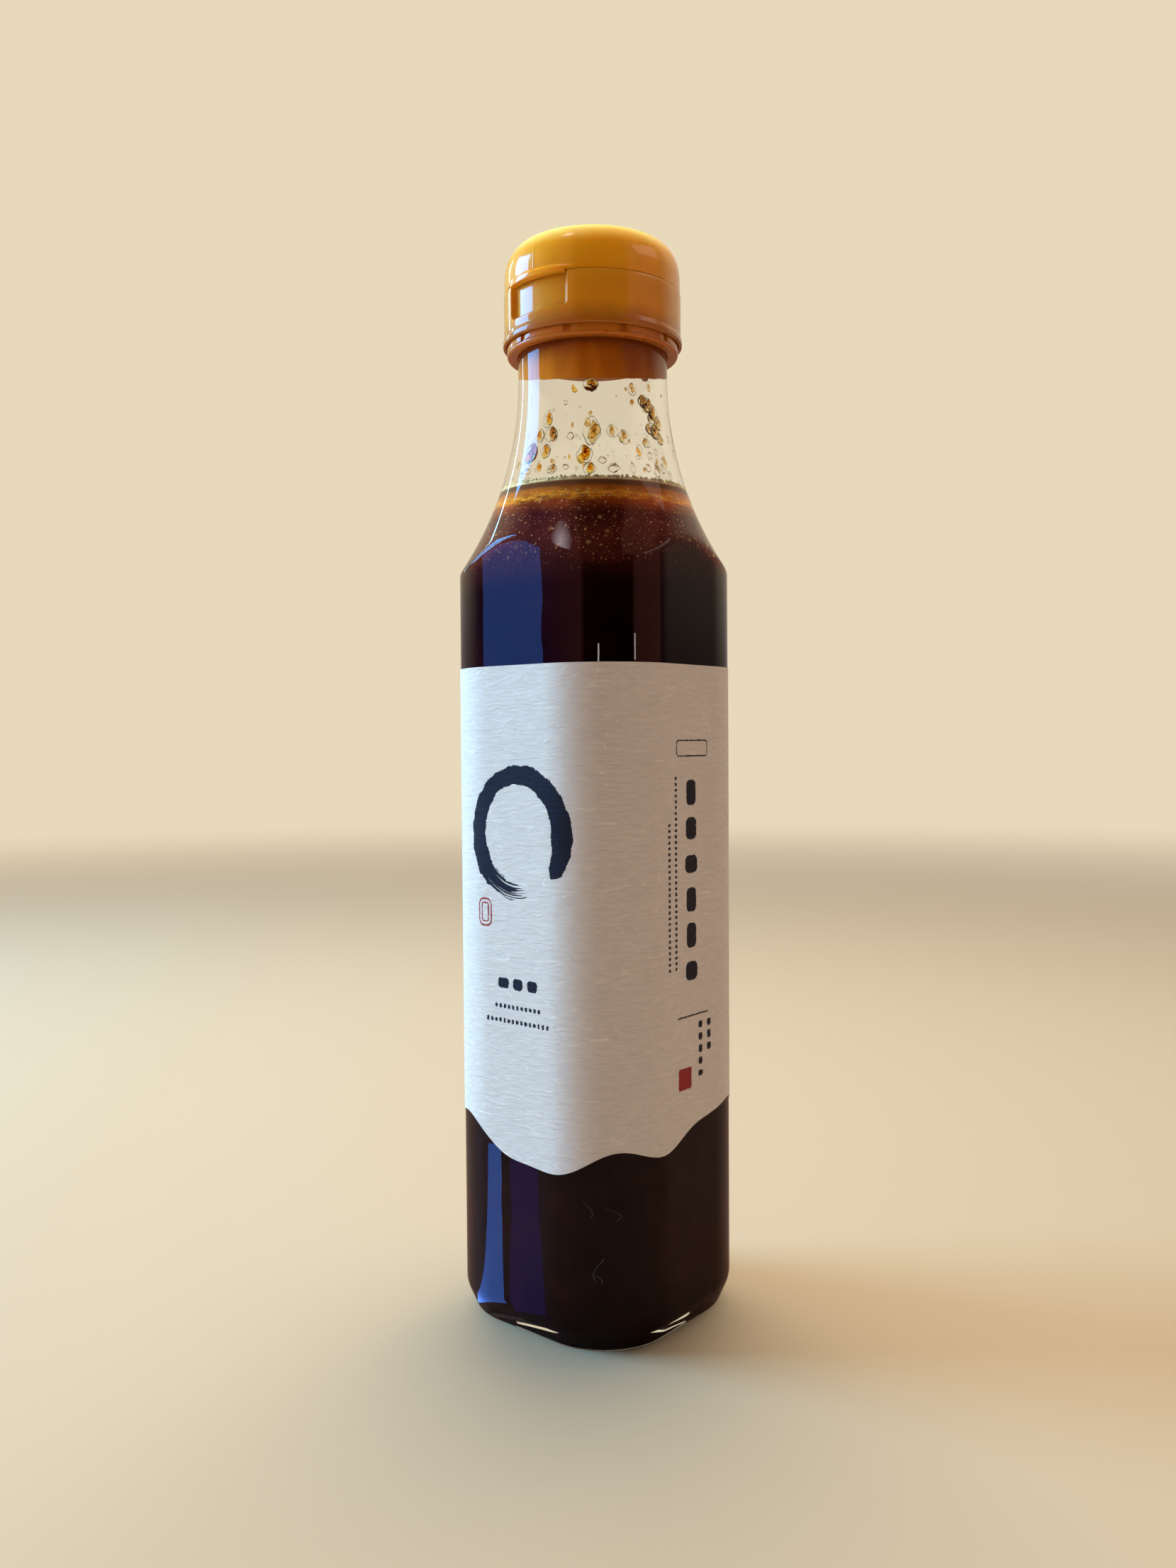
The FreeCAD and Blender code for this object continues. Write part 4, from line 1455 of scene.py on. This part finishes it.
def buildWorld():
    world = bpy.data.worlds.new("paleRoom")
    bpy.context.scene.world = world
    world.use_nodes = True
    tree = world.node_tree
    tree.nodes.clear()
    x, y, z = split(tree, wire(tree, "ShaderNodeTexCoord", output="Generated"))
    # Gloss shows the pale backdrop on the far side of the bottle and a dark room on the near side
    far = x * -0.64 + y * 0.768
    share = far.remap(0.0, 0.6, smooth=True) * z.remap(0.0, 0.14)
    turn = x.op("ARCTAN2", y * -1.0) * (0.5 / math.pi) + 0.5
    before = colourBands(tree, turn, [(0.5 + degrees / 360, colour) for degrees, colour in roomBands])
    room = mixColour(tree, share, before, studio["behind"])
    colour = mixColour(tree, rayIs(tree, "Is Glossy Ray"), studio["ambient"], room)
    # Through glass the pale backdrop runs further round
    clear = far.remap(-0.35, 0.45, smooth=True) * z.remap(0.04, 0.16, smooth=True)
    beyond = mixColour(tree, clear, studio["aside"], studio["backdrop"])
    colour = mixColour(tree, rayIs(tree, "Is Transmission Ray"), colour, beyond)
    # What stands inside the glass is lit as evenly as what stands outside it
    bounced = rayIs(tree, "Diffuse Depth").op("GREATER_THAN", 0.5)
    colour = mixColour(tree, bounced, colour, studio["ambient"])
    colour = mixColour(tree, rayIs(tree, "Is Camera Ray"), colour, studio["backdrop"])
    background = wire(tree, "ShaderNodeBackground", {"Color": colour, "Strength": 1.0})
    feed(tree.nodes.new("ShaderNodeOutputWorld").inputs[0], background)


def buildFloor():
    material, tree, sockets = newFinish("paleFloor", Roughness=0.55, Specular_IOR_Level=0.35)
    away = wire(tree, "ShaderNodeVectorMath", {0: objectPlace(tree)}, "Value", operation="LENGTH")
    through = rayIs(tree, "Is Transmission Ray")
    # Painted reflection and shadow: dark in gloss, and dark through the glass near the bottle as a painted
    # shadow
    paintedShadeShare = rayIs(tree, "Is Glossy Ray").op("MAXIMUM", through * away.remap(0.1, 0.3, 1.0, 0.0))
    feed(sockets["Base Color"], mixColour(tree, paintedShadeShare, studio["floor"], studio["paintedFloorShade"]))
    # Far off, the floor runs into the backdrop
    glow = wire(tree, "ShaderNodeEmission", {"Color": (*studio["backdrop"], 1), "Strength": 1.0})
    seen = rayIs(tree, "Is Camera Ray").op("MAXIMUM", through)
    mixSurface(tree, away.remap(0.35, 1.6, smooth=True) * seen, glow)
    verts = [(0.0, 0.0, 0.0)]
    around = studio["floorAround"]
    for radius in studio["floorRings"]:
        turns = [2 * math.pi * step / around for step in range(around)]
        verts += [(radius * math.cos(turn), radius * math.sin(turn), 0.0) for turn in turns]
    faces = [(0, 1 + step, 1 + (step + 1) % around) for step in range(around)]
    rings = gridFaces(len(studio["floorRings"]), around, wrapColumns=False, wrapRows=True)
    faces += [tuple(1 + index for index in face) for face in rings]
    mesh = bpy.data.meshes.new("studioFloor")
    mesh.from_pydata(verts, [], faces)
    mesh.materials.append(material)
    floor = placeObject("studioFloor", mesh)


# Lamps: bearing from the front, elevation, distance, width, height, watts, colour, use, and what they aim at
lamps = {
    "windowLight": (-62.5, 22, 0.9, 0.43, 0.42, 17.0, (0.40, 0.745, 1.0), "fill"),
    "roomLight": (95, 35, 1.1, 0.9, 0.7, 0.35, (1.0, 0.8, 0.62), "fill"),
    "topLight": (-145, 74, 0.8, 0.5, 0.5, 15.5, (1.0, 0.88, 0.66), "fill"),
    "neckLight": (34, 6, 0.35, 0.06, 0.06, 0.0022, (1.0, 0.9, 0.76), "fill", (0, 0, 0.193)),
    "sideStrip": (-96, 22, 0.9, 0.03, 0.38, 0.35, (0.35, 0.72, 1.0), "gloss"),
    "blueCard": (-43.5, 5, 0.9, 0.094, 0.3, 0.175, (0.06, 0.26, 1.0), "gloss"),
    "highCard": (-15, 66, 0.9, 0.34, 0.28, 0.0072, (1.0, 0.86, 0.9), "gloss"),
    "rightCard": (118, 38, 0.9, 0.5, 0.25, 0.25, (1.0, 0.85, 0.75), "gloss"),
    "nearStrip": (37.2, 4.65, 0.9, 0.03, 0.02, 0.014, (1.0, 0.92, 0.85), "gloss"),
    "farStrip": (87.0, 5.2, 0.9, 0.03, 0.028, 0.016, (1.0, 0.92, 0.85), "gloss"),
}
# Lamps whose glow fades toward their edges: full angle in degrees
softSpread = {"highCard": 14, "neckLight": 16}
window = {
    "panes": 6, "bearing": -63.5, "spread": 4.6, "elevation": 25, "distance": 0.9, "width": 0.062,
    "tall": 0.34, "power": 3.8, "colour": (0.10, 0.46, 1.0),
}
# Glints of the window on the floor: middle, turn, width, length, watts, colour
floorGlints = {
    "narrowGlint": ((-0.0499, -0.0645, 0.002), -44.2, 0.010, 0.11, 0.012, (0.08, 0.26, 1.0)),
    "broadGlint": ((-0.0391, -0.0689, 0.0015), -43.0, 0.0075, 0.11, 0.0011, (0.12, 0.08, 1.0)),
}


def addLamp(name, bearing, elevation, distance, width, tall, power, colour, use, aim=(0, 0, 0.12)):
    # Lamps for gloss show in reflections alone; lamps for fill light and don't show
    lamp = bpy.data.lights.new(name, "AREA")
    lamp.shape = "RECTANGLE"
    lamp.size, lamp.size_y = width, tall
    lamp.energy, lamp.color = power, colour
    lamp.spread = math.radians(softSpread.get(name, 180))
    # Fill light reaches what stands in the glass by shadow rays alone
    lamp.cycles.use_multiple_importance_sampling = use != "fill"
    light = placeObject(name, lamp)
    rise = math.radians(elevation)
    way = waysAt(math.radians(bearing))[0] * math.cos(rise) + Vector((0, 0, math.sin(rise)))
    light.location = Vector(aim) + way * distance
    light.rotation_euler = (Vector(aim) - light.location).to_track_quat("-Z", "Y").to_euler()
    light.visible_camera = False
    light.visible_transmission = False
    light.visible_diffuse = use != "gloss"
    light.visible_glossy = use != "fill"
    return light


def hangLamps():
    for name, values in lamps.items():
        addLamp(name, *values)
    # The window shows in gloss as narrow upright panes
    for pane in range(window["panes"]):
        bearing = window["bearing"] + window["spread"] * (pane - (window["panes"] - 1) / 2)
        place = (bearing, window["elevation"], window["distance"], window["width"], window["tall"])
        addLamp(f"windowPane{pane}", *place, window["power"] / window["panes"], window["colour"], "gloss")
    for name, (middle, turn, width, length, power, colour) in floorGlints.items():
        glint = addLamp(name, 0, 0, 0.2, width, length, power, colour, "gloss")
        glint.location = middle
        glint.rotation_euler = (math.pi, 0, math.radians(turn))


# Camera: angles in degrees, its place in metres from the bottle's axis
view = {
    "bearing": 39.83, "down": 2.044, "roll": -0.405, "back": 0.27015, "right": -0.0016, "height": 0.12049,
    "sensor": 36.0, "tallest": 2212, "focus": 1783.5,
}


def addCamera():
    data = bpy.data.cameras.new("view")
    data.sensor_width = view["sensor"]
    data.lens = view["focus"] * view["sensor"] / view["tallest"]
    data.clip_start = 0.01
    camera = placeObject("view", data)
    back, right = waysAt(math.radians(view["bearing"]))
    down = math.radians(view["down"])
    camera.location = back * view["back"] + right * view["right"] + Vector((0, 0, view["height"]))
    ahead = -back * math.cos(down) - Vector((0, 0, 1)) * math.sin(down)
    facing = Matrix((right, right.cross(ahead), -ahead)).transposed()
    camera.rotation_euler = (facing @ Matrix.Rotation(math.radians(view["roll"]), 3, "Z")).to_euler()
    bpy.context.scene.camera = camera


print("lighting the studio")
buildWorld()
buildFloor()
hangLamps()
addCamera()
bpy.context.scene.view_settings.view_transform = "Standard"
